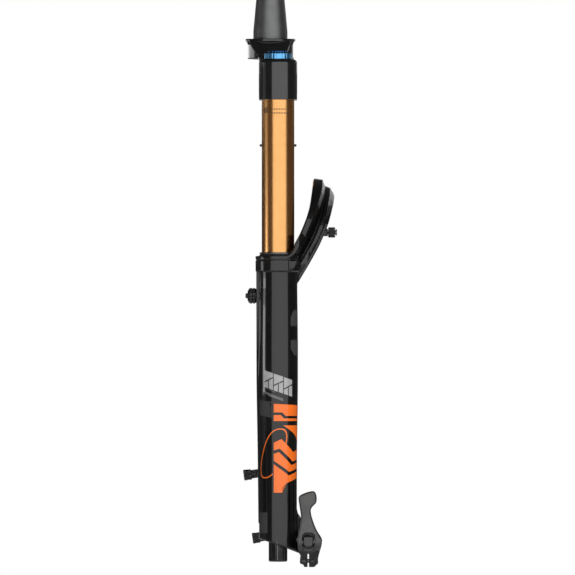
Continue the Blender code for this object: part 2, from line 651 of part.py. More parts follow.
def build_axle():
    axle = turned("axle", [
        (0, -83.2 * MM), (AXLE_R, -83.2 * MM), (AXLE_R, 63 * MM), (AXLE_R - 0.8 * MM, 64 * MM),
        (AXLE_R - 0.8 * MM, 77 * MM), (5.4 * MM, 78.5 * MM), (0, 78.5 * MM),
    ], "satin_black", at=(AXLE_X, 0, AXLE_Z), axis="Y")
    join(axle, block("tongue_guide", (AXLE_X - TONGUE_HALF, PIN_Y, AXLE_Z - 4.8 * MM),
                     (AXLE_X + TONGUE_HALF, -78 * MM, AXLE_Z + 4.8 * MM)))
    join(axle, rod("tongue_eye_guide", 6.8 * MM, AXLE_X - TONGUE_HALF, AXLE_X + TONGUE_HALF,
                   at=(0, PIN_Y, AXLE_Z), axis="X", segments=MEDIUM))
    cut(axle, rod("tongue_pin_hole_guide", 2.8 * MM, 20 * MM, 80 * MM, at=(0, PIN_Y, AXLE_Z),
                  axis="X", segments=COARSE))
    at = (AXLE_X, 0, AXLE_Z)
    bore = AXLE_R + GAP
    turned("cam_cup", [
        (bore, -83.1 * MM), (11.0 * MM, -83.1 * MM), (13.6 * MM, -80.6 * MM), (13.6 * MM, -77.3 * MM),
        (bore, -77.3 * MM),
    ], "satin_black", at=at, axis="Y")
    tube("axle_sleeve", SLEEVE_R, bore, -76.9 * MM, -55.0 * MM, "satin_black", at=at, axis="Y")
    turned("axle_nut", [
        (bore, NUT_SEAT + GAP), (SLEEVE_R, NUT_SEAT + GAP), (SLEEVE_R, 77.2 * MM), (12.2 * MM, 77.4 * MM),
        (12.2 * MM, 80.5 * MM), (bore, 80.5 * MM),
    ], "satin_black", at=at, axis="Y")
    rod("nut_lock_screw", 1.5 * MM, -16 * MM, -10.4 * MM, "steel", at=(AXLE_X, 71 * MM, AXLE_Z), segments=12)
    turned("pinch_bolt", [
        (0, 35.0 * MM), (2.4 * MM, 35.0 * MM), (2.4 * MM, 51.6 * MM), (3.7 * MM, 51.6 * MM),
        (3.7 * MM, 55.2 * MM), (0, 55.2 * MM),
    ], "steel", at=(0, PINCH_Y, PINCH_Z), axis="X", segments=COARSE)


def build_sag_ring():
    """The rubber ring on the left stanchion that marks how far the fork has moved."""
    middle, half = -123.5 * MM, 1.5 * MM
    inner, outer = STANCHION_R + GAP, 21.6 * MM
    turned("sag_ring", [
        (inner, middle - half * 0.6), (inner + 0.6 * MM, middle - half), (outer - 0.7 * MM, middle - half),
        (outer, middle - half * 0.4), (outer, middle + half * 0.4), (outer - 0.7 * MM, middle + half),
        (inner + 0.6 * MM, middle + half), (inner, middle + half * 0.6),
    ], "rubber", at=leg_point("left"), segments=FINE)


def main():
    clear_scene()
    MATERIALS.update(make_materials())
    build_steerer()
    build_crown()
    build_stanchions()
    build_air_spring()
    build_damper()
    build_lower_casting()
    build_leg_fittings()
    build_bleed_valves()
    build_hose_guide()
    build_lever()
    build_axle()
    build_sag_ring()


main()
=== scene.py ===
"""The finished look of a single-crown suspension fork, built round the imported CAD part.

Shapes are worked out in millimetres in the CAD frame and turned into metres when a mesh is made.
The cast and forged pieces are skins over distance fields, the turned pieces are spun profiles,
and everything that stays hidden inside keeps its CAD solid with a better material.
"""

import json
import math

import bmesh
import bpy
import numpy as np
from mathutils import Matrix, Vector


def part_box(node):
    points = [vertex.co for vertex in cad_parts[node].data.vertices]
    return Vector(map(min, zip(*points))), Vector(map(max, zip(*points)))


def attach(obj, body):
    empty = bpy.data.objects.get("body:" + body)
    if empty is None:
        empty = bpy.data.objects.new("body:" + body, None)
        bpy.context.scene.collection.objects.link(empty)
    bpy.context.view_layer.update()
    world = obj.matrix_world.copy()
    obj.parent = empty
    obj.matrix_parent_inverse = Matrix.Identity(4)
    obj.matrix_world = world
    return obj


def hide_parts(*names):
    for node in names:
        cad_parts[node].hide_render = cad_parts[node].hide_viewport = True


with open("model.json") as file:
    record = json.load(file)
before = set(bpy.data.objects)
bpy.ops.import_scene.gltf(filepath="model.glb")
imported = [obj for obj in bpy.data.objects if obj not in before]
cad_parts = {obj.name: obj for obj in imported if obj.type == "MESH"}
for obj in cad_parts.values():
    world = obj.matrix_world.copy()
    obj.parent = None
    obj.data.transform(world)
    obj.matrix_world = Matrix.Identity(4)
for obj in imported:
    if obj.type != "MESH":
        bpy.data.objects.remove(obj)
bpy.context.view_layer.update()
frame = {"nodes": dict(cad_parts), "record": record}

MM = 0.001
TAU = 2 * math.pi
BODY = {node: body for body, nodes in frame["record"]["behaviour"]["bodies"].items() for node in nodes}
SLOT = {part["node"]: part["material_slot"] for part in frame["record"]["subparts"]}


def box(node):
    """Lowest and highest corner of a CAD node, in millimetres."""
    low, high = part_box(node)
    return np.array(low) / MM, np.array(high) / MM


def middle(node):
    low, high = box(node)
    return (low + high) / 2


# Places and sizes read from the CAD part, in millimetres
LEG_X, LEG_Y, _ = middle("stanchion_left")
STANCHION_BOX = box("stanchion_left")
STANCHION_R = (STANCHION_BOX[1] - STANCHION_BOX[0])[0] / 2
STANCHION_LOW, STANCHION_HIGH = STANCHION_BOX[0][2], STANCHION_BOX[1][2]
AXLE_X, _, AXLE_Z = middle("axle_sleeve")
PIN_Y = middle("lever_pin")[1]
PINCH_Y, PINCH_Z = middle("pinch_bolt")[1:]
HOSE_Y, HOSE_Z = middle("hose_guide_screw")[1:]
BLEED_Z = middle("bleed_valve_left")[2]
SIDES = {"left": 1, "right": -1}

# Lower legs
COLLAR_R = 26.25
COLLAR_TOP = -252.6
COLLAR_BOTTOM = -270.4
LEG_HEIGHTS = [-640, -480, -410, -350, -290, -260]
LEG_RADII = [22.0, 22.0, 23.2, 23.2, 22.5, 22.6]
RIB_LINE_HEIGHTS = [-560, -470, -400, -269]
RIB_LINE_REACH = [22.6, 23.8, 25.0, 25.3]  # how far the rib's back edge is from the leg's axis there
RIB_DEPTH = 5.0
RIB_CHANGE = [-430, -350]  # the rib goes from narrow and round to wide and square over this stretch
LEG_FLOOR = -562.0
LEG_BORE_R = 20.7
SEAL_SEAT = (23.2, -268.0)
FOOT_SEAT = -578.7
FOOT_POINT = (-40.0, -571.6)  # the sloping cut under each leg passes through here
FOOT_DOWN = (-0.3161, -0.9487)
HUB_HALF = 55.0
DROPOUT_OUT = 77.0
BOSS_R = 12.8
AXLE_R = 7.5
SLEEVE_R = 10.0
GAP = 0.3  # round a shaft in its bore
CUP_ROOM_R = 14.2
DIAGONAL = 0.7071  # scales a 45 degree bevel to true distance
POST_Y = 61.0
POST_FACES = [(-31.2, -508.1, 32.0), (-21.0, -581.6, 26.0)]  # x, z and length of each brake post
POST_IN = (0.9905, 0.1375)  # from a post's face into the leg, in x and z
LEVER_SLOT = 7.0
FINE = 128  # sides of a turned piece
SHARP = math.radians(50)  # edges that turn more than this stay sharp


def curved(a, b, c, d, t):
    """A point between b and c on a smooth curve through four points (Catmull-Rom)."""
    return 0.5 * (2 * b + (c - a) * t + (2 * a - 5 * b + 4 * c - d) * t**2 + (3 * b - a - 3 * c + d) * t**3)


# Distance fields. Points are rows of x, y, z; a negative distance is inside.


def smooth_union(a, b, k):
    h = np.clip(0.5 + 0.5 * (b - a) / k, 0, 1)
    return b + (a - b) * h - k * h * (1 - h)


def smooth_cut(a, b, k):
    return -smooth_union(-a, b, k)


def rounded_pair(x, y, edge):
    """The overlap of two half spaces, with its corner rounded."""
    x, y = x + edge, y + edge
    return np.minimum(np.maximum(x, y), 0) + np.hypot(np.maximum(x, 0), np.maximum(y, 0)) - edge


def slab(across, along, low, high, edge=0.8):
    """A flat or round shape of distance across, between two ends."""
    return rounded_pair(across, np.abs(along - (low + high) / 2) - (high - low) / 2, edge)


def run_distance(start, end, x, z):
    """Squared distance to one straight run of an outline."""
    (ax, az), (bx, bz) = start, end
    ex, ez, wx, wz = bx - ax, bz - az, x - ax, z - az
    t = np.clip((wx * ex + wz * ez) / (ex * ex + ez * ez + 1e-9), 0, 1)
    return (wx - ex * t) ** 2 + (wz - ez * t) ** 2


def line_distance(points, x, z):
    """Distance to an open line of corners."""
    return np.sqrt(np.min([run_distance(a, b, x, z) for a, b in zip(points, points[1:])], axis=0))


def polygon(corners, x, z):
    """Distance to a closed outline. A corner's numbers may be arrays as long as x."""
    nearest = np.full(x.shape, 1e9)
    inside = np.zeros(x.shape, bool)
    for (ax, az), (bx, bz) in zip(corners, corners[1:] + corners[:1]):
        nearest = np.minimum(nearest, run_distance((ax, az), (bx, bz), x, z))
        spans = (az > z) != (bz > z)
        inside ^= spans & (((x - ax) * (bz - az) < (bx - ax) * (z - az)) == (bz > az))
    return np.where(inside, -1, 1) * np.sqrt(nearest)


def within(p, low, high, shape, far=30.0):
    """A field that is only worked out in a box round its shape."""
    d = np.full(len(p), far)
    pick = np.all((p > low) & (p < high), axis=1)
    if pick.any():
        d[pick] = shape(p[pick])
    return d


def graded(*spans):
    """Grid lines over spans of (start, step). The last span only ends the grid."""
    lines = []
    for (start, step), (end, _) in zip(spans, spans[1:]):
        count = max(1, round((end - start) / step))
        lines += list(np.linspace(start, end, count, endpoint=False))
    return np.array(lines + [spans[-1][0]], float)


def sampled(field, axes, block=6):
    """The field at every grid point near its surface, and a rough value elsewhere."""
    sizes = [len(axis) for axis in axes]
    values = np.empty(sizes)
    wanted = np.zeros(sizes, bool)
    starts = [range(0, size, block) for size in sizes]
    ends = [[min(s + block, size) for s in start] for start, size in zip(starts, sizes)]
    spans = [[(axis[s], axis[e - 1]) for s, e in zip(start, end)]
             for axis, start, end in zip(axes, starts, ends)]
    corners = np.stack(np.meshgrid(*[np.array(s).sum(1) / 2 for s in spans], indexing="ij"), -1)
    halves = np.stack(np.meshgrid(*[np.diff(np.array(s))[:, 0] / 2 for s in spans], indexing="ij"), -1)
    centres = field(corners.reshape(-1, 3)).reshape(corners.shape[:3])
    reach = np.linalg.norm(halves, axis=-1) * 1.25 + 3.0
    for i, j, k in np.ndindex(centres.shape):
        part = tuple(slice(starts[a][n], ends[a][n]) for a, n in enumerate((i, j, k)))
        values[part] = centres[i, j, k]
        wanted[part] = abs(centres[i, j, k]) < reach[i, j, k]
    at = np.nonzero(wanted)
    points = np.stack([axis[n] for axis, n in zip(axes, at)], 1)
    for start in range(0, len(points), 400000):
        some = slice(start, start + 400000)
        values[tuple(n[some] for n in at)] = field(points[some])
    return values


def slope(field, p, step=0.06):
    """Unit gradient of a field at points."""
    parts = []
    for axis in range(3):
        shift = np.zeros(3)
        shift[axis] = step
        parts.append(field(p + shift) - field(p - shift))
    g = np.stack(parts, 1)
    return g / np.maximum(np.linalg.norm(g, axis=1, keepdims=True), 1e-9)


def net(values, axes):
    """Points and four-sided faces of the zero surface on a grid, one point in each crossed cell."""
    inside = values < 0
    nx, ny, nz = (n - 1 for n in values.shape)
    count = sum(
        inside[i:nx + i, j:ny + j, k:nz + k].astype(np.int8)
        for i in (0, 1) for j in (0, 1) for k in (0, 1)
    )
    mixed = (count > 0) & (count < 8)
    cell = np.array(np.nonzero(mixed))
    index = np.full(mixed.shape, -1, np.int64)
    index[tuple(cell)] = np.arange(cell.shape[1])
    total = np.zeros((cell.shape[1], 3))
    hits = np.zeros(cell.shape[1])
    quads = []
    for axis in range(3):
        others = [a for a in range(3) if a != axis]
        for first in (0, 1):
            for second in (0, 1):
                near = cell.copy()
                near[others[0]] += first
                near[others[1]] += second
                far = near.copy()
                far[axis] += 1
                a, b = values[tuple(near)], values[tuple(far)]
                crossed = (a < 0) != (b < 0)
                t = np.where(crossed, a / np.where(crossed, a - b, 1), 0)
                start = np.stack([axes[n][near[n]] for n in range(3)], 1)
                start[:, axis] += t * (axes[axis][far[axis]] - axes[axis][near[axis]])
                total += np.where(crossed[:, None], start, 0)
                hits += crossed
        low = np.moveaxis(inside, axis, 0)[:-1, 1:-1, 1:-1]
        high = np.moveaxis(inside, axis, 0)[1:, 1:-1, 1:-1]
        around = np.moveaxis(index, axis, 0)
        g, u, v = np.nonzero(low != high)
        loop = [around[g, u + du, v + dv] for du, dv in ((0, 0), (1, 0), (1, 1), (0, 1))]
        turned_round = low[g, u, v] == (axis == 1)
        faces = np.stack(loop, 1)
        faces[turned_round] = faces[turned_round][:, ::-1]
        quads.append(faces)
    return total / hits[:, None], np.concatenate(quads)


def linked(name, data):
    obj = bpy.data.objects.new(name, data)
    bpy.context.scene.collection.objects.link(obj)
    return obj


def mesh_object(name, points, faces, normals=None):
    """An object from points in millimetres."""
    mesh = bpy.data.meshes.new(name)
    mesh.from_pydata((np.asarray(points) * MM).tolist(), [], faces)
    mesh.update()
    mesh.shade_smooth()
    if normals is not None:
        mesh.normals_split_custom_set_from_vertices(normals)
    return linked(name, mesh)


def grid_round(node, step, margin=1.0):
    """An even grid round a CAD node, as lines in x, y and z."""
    low, high = box(node)
    return [graded((low[n] - margin, step), (high[n] + margin, 1)) for n in range(3)]


def skin(name, field, axes):
    """A mesh on the zero surface of a field, with its normals read from the field."""
    points, quads = net(sampled(field, axes), axes)
    for _ in range(2):
        points = points - slope(field, points) * np.clip(field(points), -0.6, 0.6)[:, None]
    return mesh_object(name, points, quads.tolist(), slope(field, points))


# Turned pieces


def rounded(profile, corner, steps=4):
    """The closed (radius, height) profile with its corners turned into arcs.
    A third number on a point sets its own corner radius. Points on the axis stay sharp."""
    made = []
    count = len(profile)
    for i, point in enumerate(profile):
        here = np.array(point[:2], float)
        before = np.array(profile[i - 1][:2], float) - here
        after = np.array(profile[(i + 1) % count][:2], float) - here
        radius = point[2] if len(point) > 2 else corner
        lengths = np.linalg.norm(before), np.linalg.norm(after)
        if here[0] < 1e-6 or radius < 0.01 or min(lengths) < 1e-6:
            made.append(tuple(here))
            continue
        before, after = before / lengths[0], after / lengths[1]
        half = math.acos(max(-1.0, min(1.0, float(before @ after)))) / 2
        if half > 1.5:
            made.append(tuple(here))
            continue
        back = min(radius / math.tan(half), 0.45 * min(lengths))
        start, end = here + before * back, here + after * back
        for step in range(steps + 1):
            t = step / steps
            made.append(tuple((1 - t) ** 2 * start + 2 * t * (1 - t) * here + t * t * end))
    return made


def turned(name, profile, at, axis="Z", corner=0.35, sides=FINE, form=None):
    """A profile spun round an axis through at. form(radius, height, angle) reshapes the radius."""
    profile = rounded(profile, corner)
    angles = np.arange(sides) * TAU / sides
    points, rings = [], []
    for radius, height in profile:
        if radius < 1e-6:
            rings.append([len(points)])
            points.append((0, 0, height))
            continue
        reach = np.full(sides, radius) if form is None else form(radius, height, angles)
        rings.append(list(range(len(points), len(points) + sides)))
        points += list(zip(reach * np.cos(angles), reach * np.sin(angles), np.full(sides, height)))
    faces = []
    for a, b in zip(rings, rings[1:] + rings[:1]):
        if len(a) == 1 and len(b) == 1:
            continue
        for i in range(sides):
            j = (i + 1) % sides
            loop = [a[i % len(a)], a[j % len(a)], b[j % len(b)], b[i % len(b)]]
            faces.append(list(dict.fromkeys(loop)))
    turn = {"Z": Matrix.Identity(3), "Y": Matrix.Rotation(-math.pi / 2, 3, "X"),
            "X": Matrix.Rotation(math.pi / 2, 3, "Y"), "-X": Matrix.Rotation(-math.pi / 2, 3, "Y")}[axis]
    points = np.array(points, float) @ np.array(turn).T + np.array(at, float)
    obj = mesh_object(name, points, faces)
    tidy = bmesh.new()
    tidy.from_mesh(obj.data)
    bmesh.ops.recalc_face_normals(tidy, faces=tidy.faces)
    tidy.to_mesh(obj.data)
    tidy.free()
    obj.data.set_sharp_from_angle(angle=SHARP)
    obj.modifiers.new("even_normals", "WEIGHTED_NORMAL").keep_sharp = True
    return obj


def hexagon(angle):
    """How far a hexagon's side is at each angle, as a share of its middle distance."""
    return 1 / np.cos((angle + TAU / 12) % (TAU / 6) - TAU / 12)


def hexed(inner, across):
    """Gives turned() a hexagon of that size across its flats wherever the radius is below inner."""
    def form(radius, height, angle):
        if radius > inner:
            return np.full(angle.shape, radius)
        return radius * (across / 2 / inner) * hexagon(angle)
    return form


def notched(count, depth, width, low, high, outer):
    """Gives turned() a row of notches in the rim between two heights."""
    def form(radius, height, angle):
        wave = np.cos(angle * count)
        notch = 1 / (1 + np.exp(-(wave - math.cos(math.pi * width)) * 14))
        inside = low <= height <= high and radius > outer
        return radius - depth * notch * inside
    return form


# Materials


class Shader:
    """A Principled material and short ways to drive it from texture nodes."""

    def __init__(self, name, **values):
        self.material = bpy.data.materials.new(name)
        self.material.use_nodes = True
        self.tree = self.material.node_tree
        self.surface = self.tree.nodes["Principled BSDF"]
        for socket, value in values.items():
            self.surface.inputs[socket.replace("_", " ")].default_value = value
        self.place = self.node("ShaderNodeTexCoord").outputs["Object"]

    def node(self, kind):
        return self.tree.nodes.new(kind)

    def link(self, source, target):
        self.tree.links.new(source, target)

    def noise(self, size_mm, stretch=(1, 1, 1)):
        """A noise pattern whose grain is size_mm across, longer where stretch is small."""
        mapping = self.node("ShaderNodeMapping")
        mapping.inputs["Scale"].default_value = stretch
        self.link(self.place, mapping.inputs["Vector"])
        noise = self.node("ShaderNodeTexNoise")
        noise.inputs["Scale"].default_value = 1000 / size_mm
        noise.inputs["Detail"].default_value = 3.0
        self.link(mapping.outputs["Vector"], noise.inputs["Vector"])
        return noise.outputs["Fac"]

    def colour(self, source, dark, light):
        ramp = self.node("ShaderNodeValToRGB")
        for element, at, shade in zip(ramp.color_ramp.elements, (0.35, 0.65), (dark, light)):
            element.position = at
            element.color = (*shade, 1)
        self.link(source, ramp.inputs["Fac"])
        self.link(ramp.outputs["Color"], self.surface.inputs["Base Color"])

    def roughness(self, source, low, high):
        spread = self.node("ShaderNodeMapRange")
        for socket, value in (("From Min", 0.3), ("From Max", 0.7), ("To Min", low), ("To Max", high)):
            spread.inputs[socket].default_value = value
        self.link(source, spread.inputs["Value"])
        self.link(spread.outputs["Result"], self.surface.inputs["Roughness"])

    def bump(self, source, depth_mm, strength):
        bump = self.node("ShaderNodeBump")
        bump.inputs["Distance"].default_value = depth_mm * MM
        bump.inputs["Strength"].default_value = strength
        self.link(source, bump.inputs["Height"])
        self.link(bump.outputs["Normal"], self.surface.inputs["Normal"])


def gloss_paint(name, dark, light, coat_roughness, coat_index=1.5):
    """Deep gloss paint: a fine flake under a clear coat with a faint orange peel."""
    paint = Shader(name, Coat_Weight=1.0, Coat_Roughness=coat_roughness, Coat_IOR=coat_index,
                   Specular_IOR_Level=0.25)
    paint.colour(paint.noise(0.5), dark, light)
    paint.roughness(paint.noise(9.0), 0.30, 0.42)
    paint.bump(paint.noise(1.6), 0.01, 0.25)
    return paint.material


def anodised(name, dark, light, low, high, grain=(1, 1, 0.05), grain_mm=0.4, depth=0.006):
    """Coloured metal with a directional machining grain."""
    metal = Shader(name, Metallic=1.0)
    metal.colour(metal.noise(14.0), dark, light)
    metal.roughness(metal.noise(grain_mm * 3, grain), low, high)
    metal.bump(metal.noise(grain_mm, grain), depth, 0.4)
    return metal.material


def moulded(name, dark, light, low, high, grain_mm=0.35, depth=0.03):
    """Rubber, foam or plastic with a fine surface texture."""
    stuff = Shader(name, Specular_IOR_Level=0.35)
    stuff.colour(stuff.noise(6.0), dark, light)
    stuff.roughness(stuff.noise(2.0), low, high)
    stuff.bump(stuff.noise(grain_mm), depth, 0.6)
    return stuff.material


def ink(name, dark, light):
    """Printed colour under the same clear coat as the paint."""
    print_ = Shader(name, Coat_Weight=1.0, Coat_Roughness=0.04, Coat_IOR=1.5, Specular_IOR_Level=0.2)
    print_.colour(print_.noise(0.7), dark, light)
    print_.roughness(print_.noise(5.0), 0.45, 0.6)
    print_.bump(print_.noise(1.6), 0.01, 0.2)
    return print_.material


def grey(value, tint=0.0):
    return (value * (1 + tint), value, value * (1 - tint))


EVEN = (1, 1, 1)  # a grain with no direction
FINISHES = {  # the function that makes each material, and what it is given after the name
    "casting_paint": (gloss_paint, grey(0.0016), grey(0.0034, 0.05), 0.025),
    "crown_anodising": (gloss_paint, grey(0.0045), grey(0.0065), 0.04, 1.66),
    "steerer_coat": (anodised, grey(0.22, -0.01), grey(0.25, -0.01), 0.44, 0.52, (1, 1, 8), 1.2),
    "stanchion_coat": (anodised, (0.88, 0.455, 0.165), (0.93, 0.48, 0.18), 0.22, 0.25, (1, 1, 12), 2.0,
                       0.0003),
    "top_cap_anodising": (anodised, grey(0.02), grey(0.03), 0.22, 0.32),
    "knob_blue": (anodised, (0.14, 0.44, 0.80), (0.18, 0.52, 0.90), 0.24, 0.34),
    "knob_red": (anodised, (0.50, 0.03, 0.025), (0.58, 0.05, 0.04), 0.22, 0.32),
    "rebound_cover_finish": (gloss_paint, grey(0.004), grey(0.006), 0.06, 1.6),
    "lever_finish": (anodised, grey(0.128, 0.01), grey(0.150, 0.01), 0.40, 0.50, EVEN, 0.3),
    "axle_finish": (anodised, grey(0.10), grey(0.12), 0.36, 0.46),
    "bleeder_finish": (anodised, grey(0.055), grey(0.075), 0.24, 0.34),
    "bare_alloy": (anodised, grey(0.55), grey(0.66), 0.25, 0.35, (1, 1, 14), 0.8),
    "screw_steel": (anodised, grey(0.20), grey(0.30), 0.25, 0.38, EVEN),
    "nut_finish": (anodised, grey(0.022), grey(0.034), 0.28, 0.40, EVEN),
    "seal_rubber": (moulded, grey(0.010), grey(0.018), 0.42, 0.60),
    "oil_foam": (moulded, (0.20, 0.18, 0.14), (0.34, 0.31, 0.25), 0.85, 0.98, 0.8, 0.3),
    "bearing_lining": (moulded, (0.10, 0.11, 0.10), (0.16, 0.17, 0.15), 0.40, 0.55),
    "moulded_plastic": (moulded, grey(0.012), grey(0.020), 0.35, 0.50),
    "spacer_plastic": (moulded, (0.62, 0.13, 0.01), (0.75, 0.18, 0.02), 0.40, 0.55),
    # the knob blue darkened as painted shade, for the top of the inner compression knob that falls dark
    "knob_dark_blue": (anodised, (0.02, 0.075, 0.20), (0.03, 0.11, 0.27), 0.20, 0.30),
    "graphic_orange": (ink, (0.93, 0.165, 0.012), (1.0, 0.190, 0.018)),
    "graphic_silver": (ink, grey(0.30), grey(0.46)),
    "graphic_ghost": (ink, grey(0.040), grey(0.060)),
    "graphic_smoke": (ink, grey(0.09), grey(0.15)),
    "stanchion_mark": (ink, (0.10, 0.05, 0.02), (0.16, 0.08, 0.03)),
}
MATERIALS = {name: make(name, *values) for name, (make, *values) in FINISHES.items()}


def dress(obj, node, finish=None):
    """Gives a finished piece its material, puts it on the body of its CAD node and hides that node."""
    obj.data.materials.append(MATERIALS[finish or SLOT[node]])
    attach(obj, BODY[node])
    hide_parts(node)


def spun(node, profile, at, axis="Z", name=None, finish=None, **options):
    """A turned piece that stands for a CAD node."""
    dress(turned(f"{name or node}_skin", profile, at, axis, **options), node, finish)


def leg_at(side):
    return (LEG_X, SIDES[side] * LEG_Y, 0)


# Lower casting


def arch_line():
    """Centre line of one half of the arch, from beyond the crest down into the leg."""
    half = [
        (62.0, 0, -176), (61.6, 18, -179), (60.2, 36, -188), (55.6, 54, -208),
        (46.5, 64.5, -231), (36.5, 71.5, -250), (26.5, 74, -267), (15.0, 75, -286),
    ]
    points = [Vector((half[2][0], -half[2][1], half[2][2])), Vector((half[1][0], -half[1][1], half[1][2]))]
    points += [Vector(point) for point in half]
    points.append(2 * points[-1] - points[-2])
    line = []
    for a, b, c, d in zip(points, points[1:], points[2:], points[3:]):
        line += [curved(a, b, c, d, step / 8) for step in range(8)]
    return line + [points[-2]]


def arch_frames():
    """For each point of the arch line: centre, tangent, direction across and direction outward."""
    line = arch_line()
    rows = []
    for i, centre in enumerate(line):
        tangent = (line[max(i - 1, 0)] - line[min(i + 1, len(line) - 1)]).normalized()
        lean = math.radians(8) + min(1.0, abs(centre.y) / 70) ** 3 * math.radians(24)
        across = Vector((math.cos(lean), 0, -math.sin(lean)))
        outward = -tangent.cross(across).normalized()
        rows.append([centre, tangent, across, -outward])
    return np.array(rows)


ARCH = arch_frames()
# The arch's section in (across, outward): rear rail, channel and front rib, at the crest and at the leg.
CREST_RAIL = [
    (-13.4, -8.6), (-13.4, 10.6), (-12.4, 11.8), (-3.0, 11.8), (0.7, 5.1), (2.6, 4.6), (4.6, 4.2),
    (7.0, 3.6), (11.5, -2.2), (12.6, -3.8), (13.1, -5.1), (13.1, -9.8), (8.8, -12.6), (-5.8, -11.6),
]
LEG_RAIL = [
    (-12.6, -8.6), (-12.6, 9.0), (-11.6, 10.4), (-6.6, 10.4), (1.6, 1.2), (3.0, 1.2), (4.8, 6.8),
    (6.2, 6.8), (9.6, -1.4), (12.3, -2.0), (13.1, -6.0), (12.9, -9.6), (8.8, -12.6), (-5.8, -11.6),
]
# Width of the front rib's face at some heights, and how far its front edge drops back there
RIB_HEIGHTS = [-276, -264, -255, -246, -234, -208]
RIB_WIDTHS = [1.2, 3.4, 5.2, 1.3, 3.6, 3.6]
RIB_DROPS = [4.5, 2.0, 0.0, 0.0, 0.0, 0.0]


def arch_field(p):
    q = np.stack([p[:, 0], np.abs(p[:, 1]), p[:, 2]], 1)
    best = np.full(len(q), 1e9)
    at = np.zeros(len(q), int)
    for i, centre in enumerate(ARCH[:, 0]):
        away = ((q - centre) ** 2).sum(1)
        closer = away < best
        best[closer] = away[closer]
        at[closer] = i
    off = ((q - ARCH[at, 0]) * ARCH[at, 1]).sum(1)
    other = np.clip(np.where(off > 0, at - 1, at + 1), 0, len(ARCH) - 1)
    gap = np.linalg.norm(ARCH[at, 0] - ARCH[other, 0], axis=1) + 1e-6
    share = np.clip(np.abs(off) / gap, 0, 1)[:, None]
    centre, across, outward = (ARCH[at, n] * (1 - share) + ARCH[other, n] * share for n in (0, 2, 3))
    u = ((q - centre) * across).sum(1)
    v = ((q - centre) * outward).sum(1)
    low = np.clip((centre[:, 1] - 30) / 34, 0, 1)
    low = low * low * (3 - 2 * low)
    rail = [(a + (c - a) * low, b + (d - b) * low) for (a, b), (c, d) in zip(CREST_RAIL, LEG_RAIL)]
    wide = np.interp(centre[:, 2], RIB_HEIGHTS, RIB_WIDTHS)
    drop = np.interp(centre[:, 2], RIB_HEIGHTS, RIB_DROPS)
    rail[7] = (rail[6][0] + 2.4 + (wide - 2.4) * low, rail[7][1] - drop)
    return np.maximum(polygon(rail, u, v) - 0.4, np.where(at == len(ARCH) - 1, -off, -9))


# The collar's top ring runs forward and up into the arch as a flange; seen along the axle, in x and z
FLANGE_LINE = [
    (0, -254.4), (17, -254.5), (22.0, -253.2), (25.6, -250.6), (28.2, -247.2), (30.4, -242.8),
    (32.8, -237.6), (35.8, -231.0),
]
FLANGE_PLAN = [
    (0, 99), (8.9, 101.2), (18.1, 99.7), (33, 94.2), (38, 90), (44, 83), (44, 62), (20, 56), (0, 58),
]
WING_OUTLINE = [
    (23.2, -258.2), (31.6, -258.2), (30.6, -261.5), (28.4, -265.4), (25.6, -268.6), (22.9, -270.2),
]
WING_TURN = math.radians(20.5)


def collar_field(p):
    """The collar with its groove, the flange above it and the wing that blends it into the arch."""
    x, y, z = p[:, 0], np.abs(p[:, 1]), p[:, 2]
    ring = from_leg(x, y)
    collar = slab(ring - COLLAR_R, z, COLLAR_BOTTOM, COLLAR_TOP, 0.7)
    thick = 1.5 + np.clip((z + 252) / 14, 0, 1) * 1.4
    flange = rounded_pair(line_distance(FLANGE_LINE, x, z) - thick, polygon(FLANGE_PLAN, x, y), 0.5)
    face = (x - LEG_X) * math.sin(WING_TURN) + (y - LEG_Y) * math.cos(WING_TURN) - COLLAR_R
    wing = rounded_pair(np.maximum(face - (z + 258) * 0.1, 62 - y), polygon(WING_OUTLINE, x, z), 0.5)
    groove = np.hypot(ring - COLLAR_R - 0.2, z + 257.0) - 0.9
    crease = np.hypot(x - 22.4, y - 98.6) - 1.1
    cuts = np.minimum(groove, np.maximum(crease, np.abs(z + 264) - 7))
    return np.minimum(smooth_union(smooth_cut(collar, cuts, 0.4), wing, 0.4), flange)


def leg_field(p):
    """A tapered tube with a rib down its back, cut off at a slope above the foot."""
    x, y, z = p.T
    tube = np.maximum(from_leg(x, y) - np.interp(z, LEG_HEIGHTS, LEG_RADII), z + 256)
    back = LEG_X - np.interp(z, RIB_LINE_HEIGHTS, RIB_LINE_REACH) + RIB_DEPTH
    half = np.interp(z, RIB_CHANGE, [5.0, 8.0])
    edge = np.interp(z, RIB_CHANGE, [4.9, 1.1])
    rib = rounded_pair(np.abs(x - back) - RIB_DEPTH, np.abs(np.abs(y) - LEG_Y) - half, edge)
    body = smooth_union(tube, slab(rib, z, LEG_FLOOR, -262, 1.0), 2.2)
    foot = (x - FOOT_POINT[0]) * FOOT_DOWN[0] + (z - FOOT_POINT[1]) * FOOT_DOWN[1]
    return rounded_pair(body, foot, 1.2)


def dropout_field(p):
    x, y, z = p.T
    outline = [
        (10, -546), (30, -548), (32.5, -553), (35.5, -557), (42, -568), (50, -577),
        (50, -593), (35, -598), (18.9, -591), (6, -586.5),
    ]
    web = slab(polygon(outline, x, z), np.abs(y), HUB_HALF + 1.5, DROPOUT_OUT - 1.5, 1.6)
    boss = slab(from_axle(x, z) - BOSS_R, np.abs(y), HUB_HALF, DROPOUT_OUT, 0.7)
    return smooth_union(web, boss, 1.2)


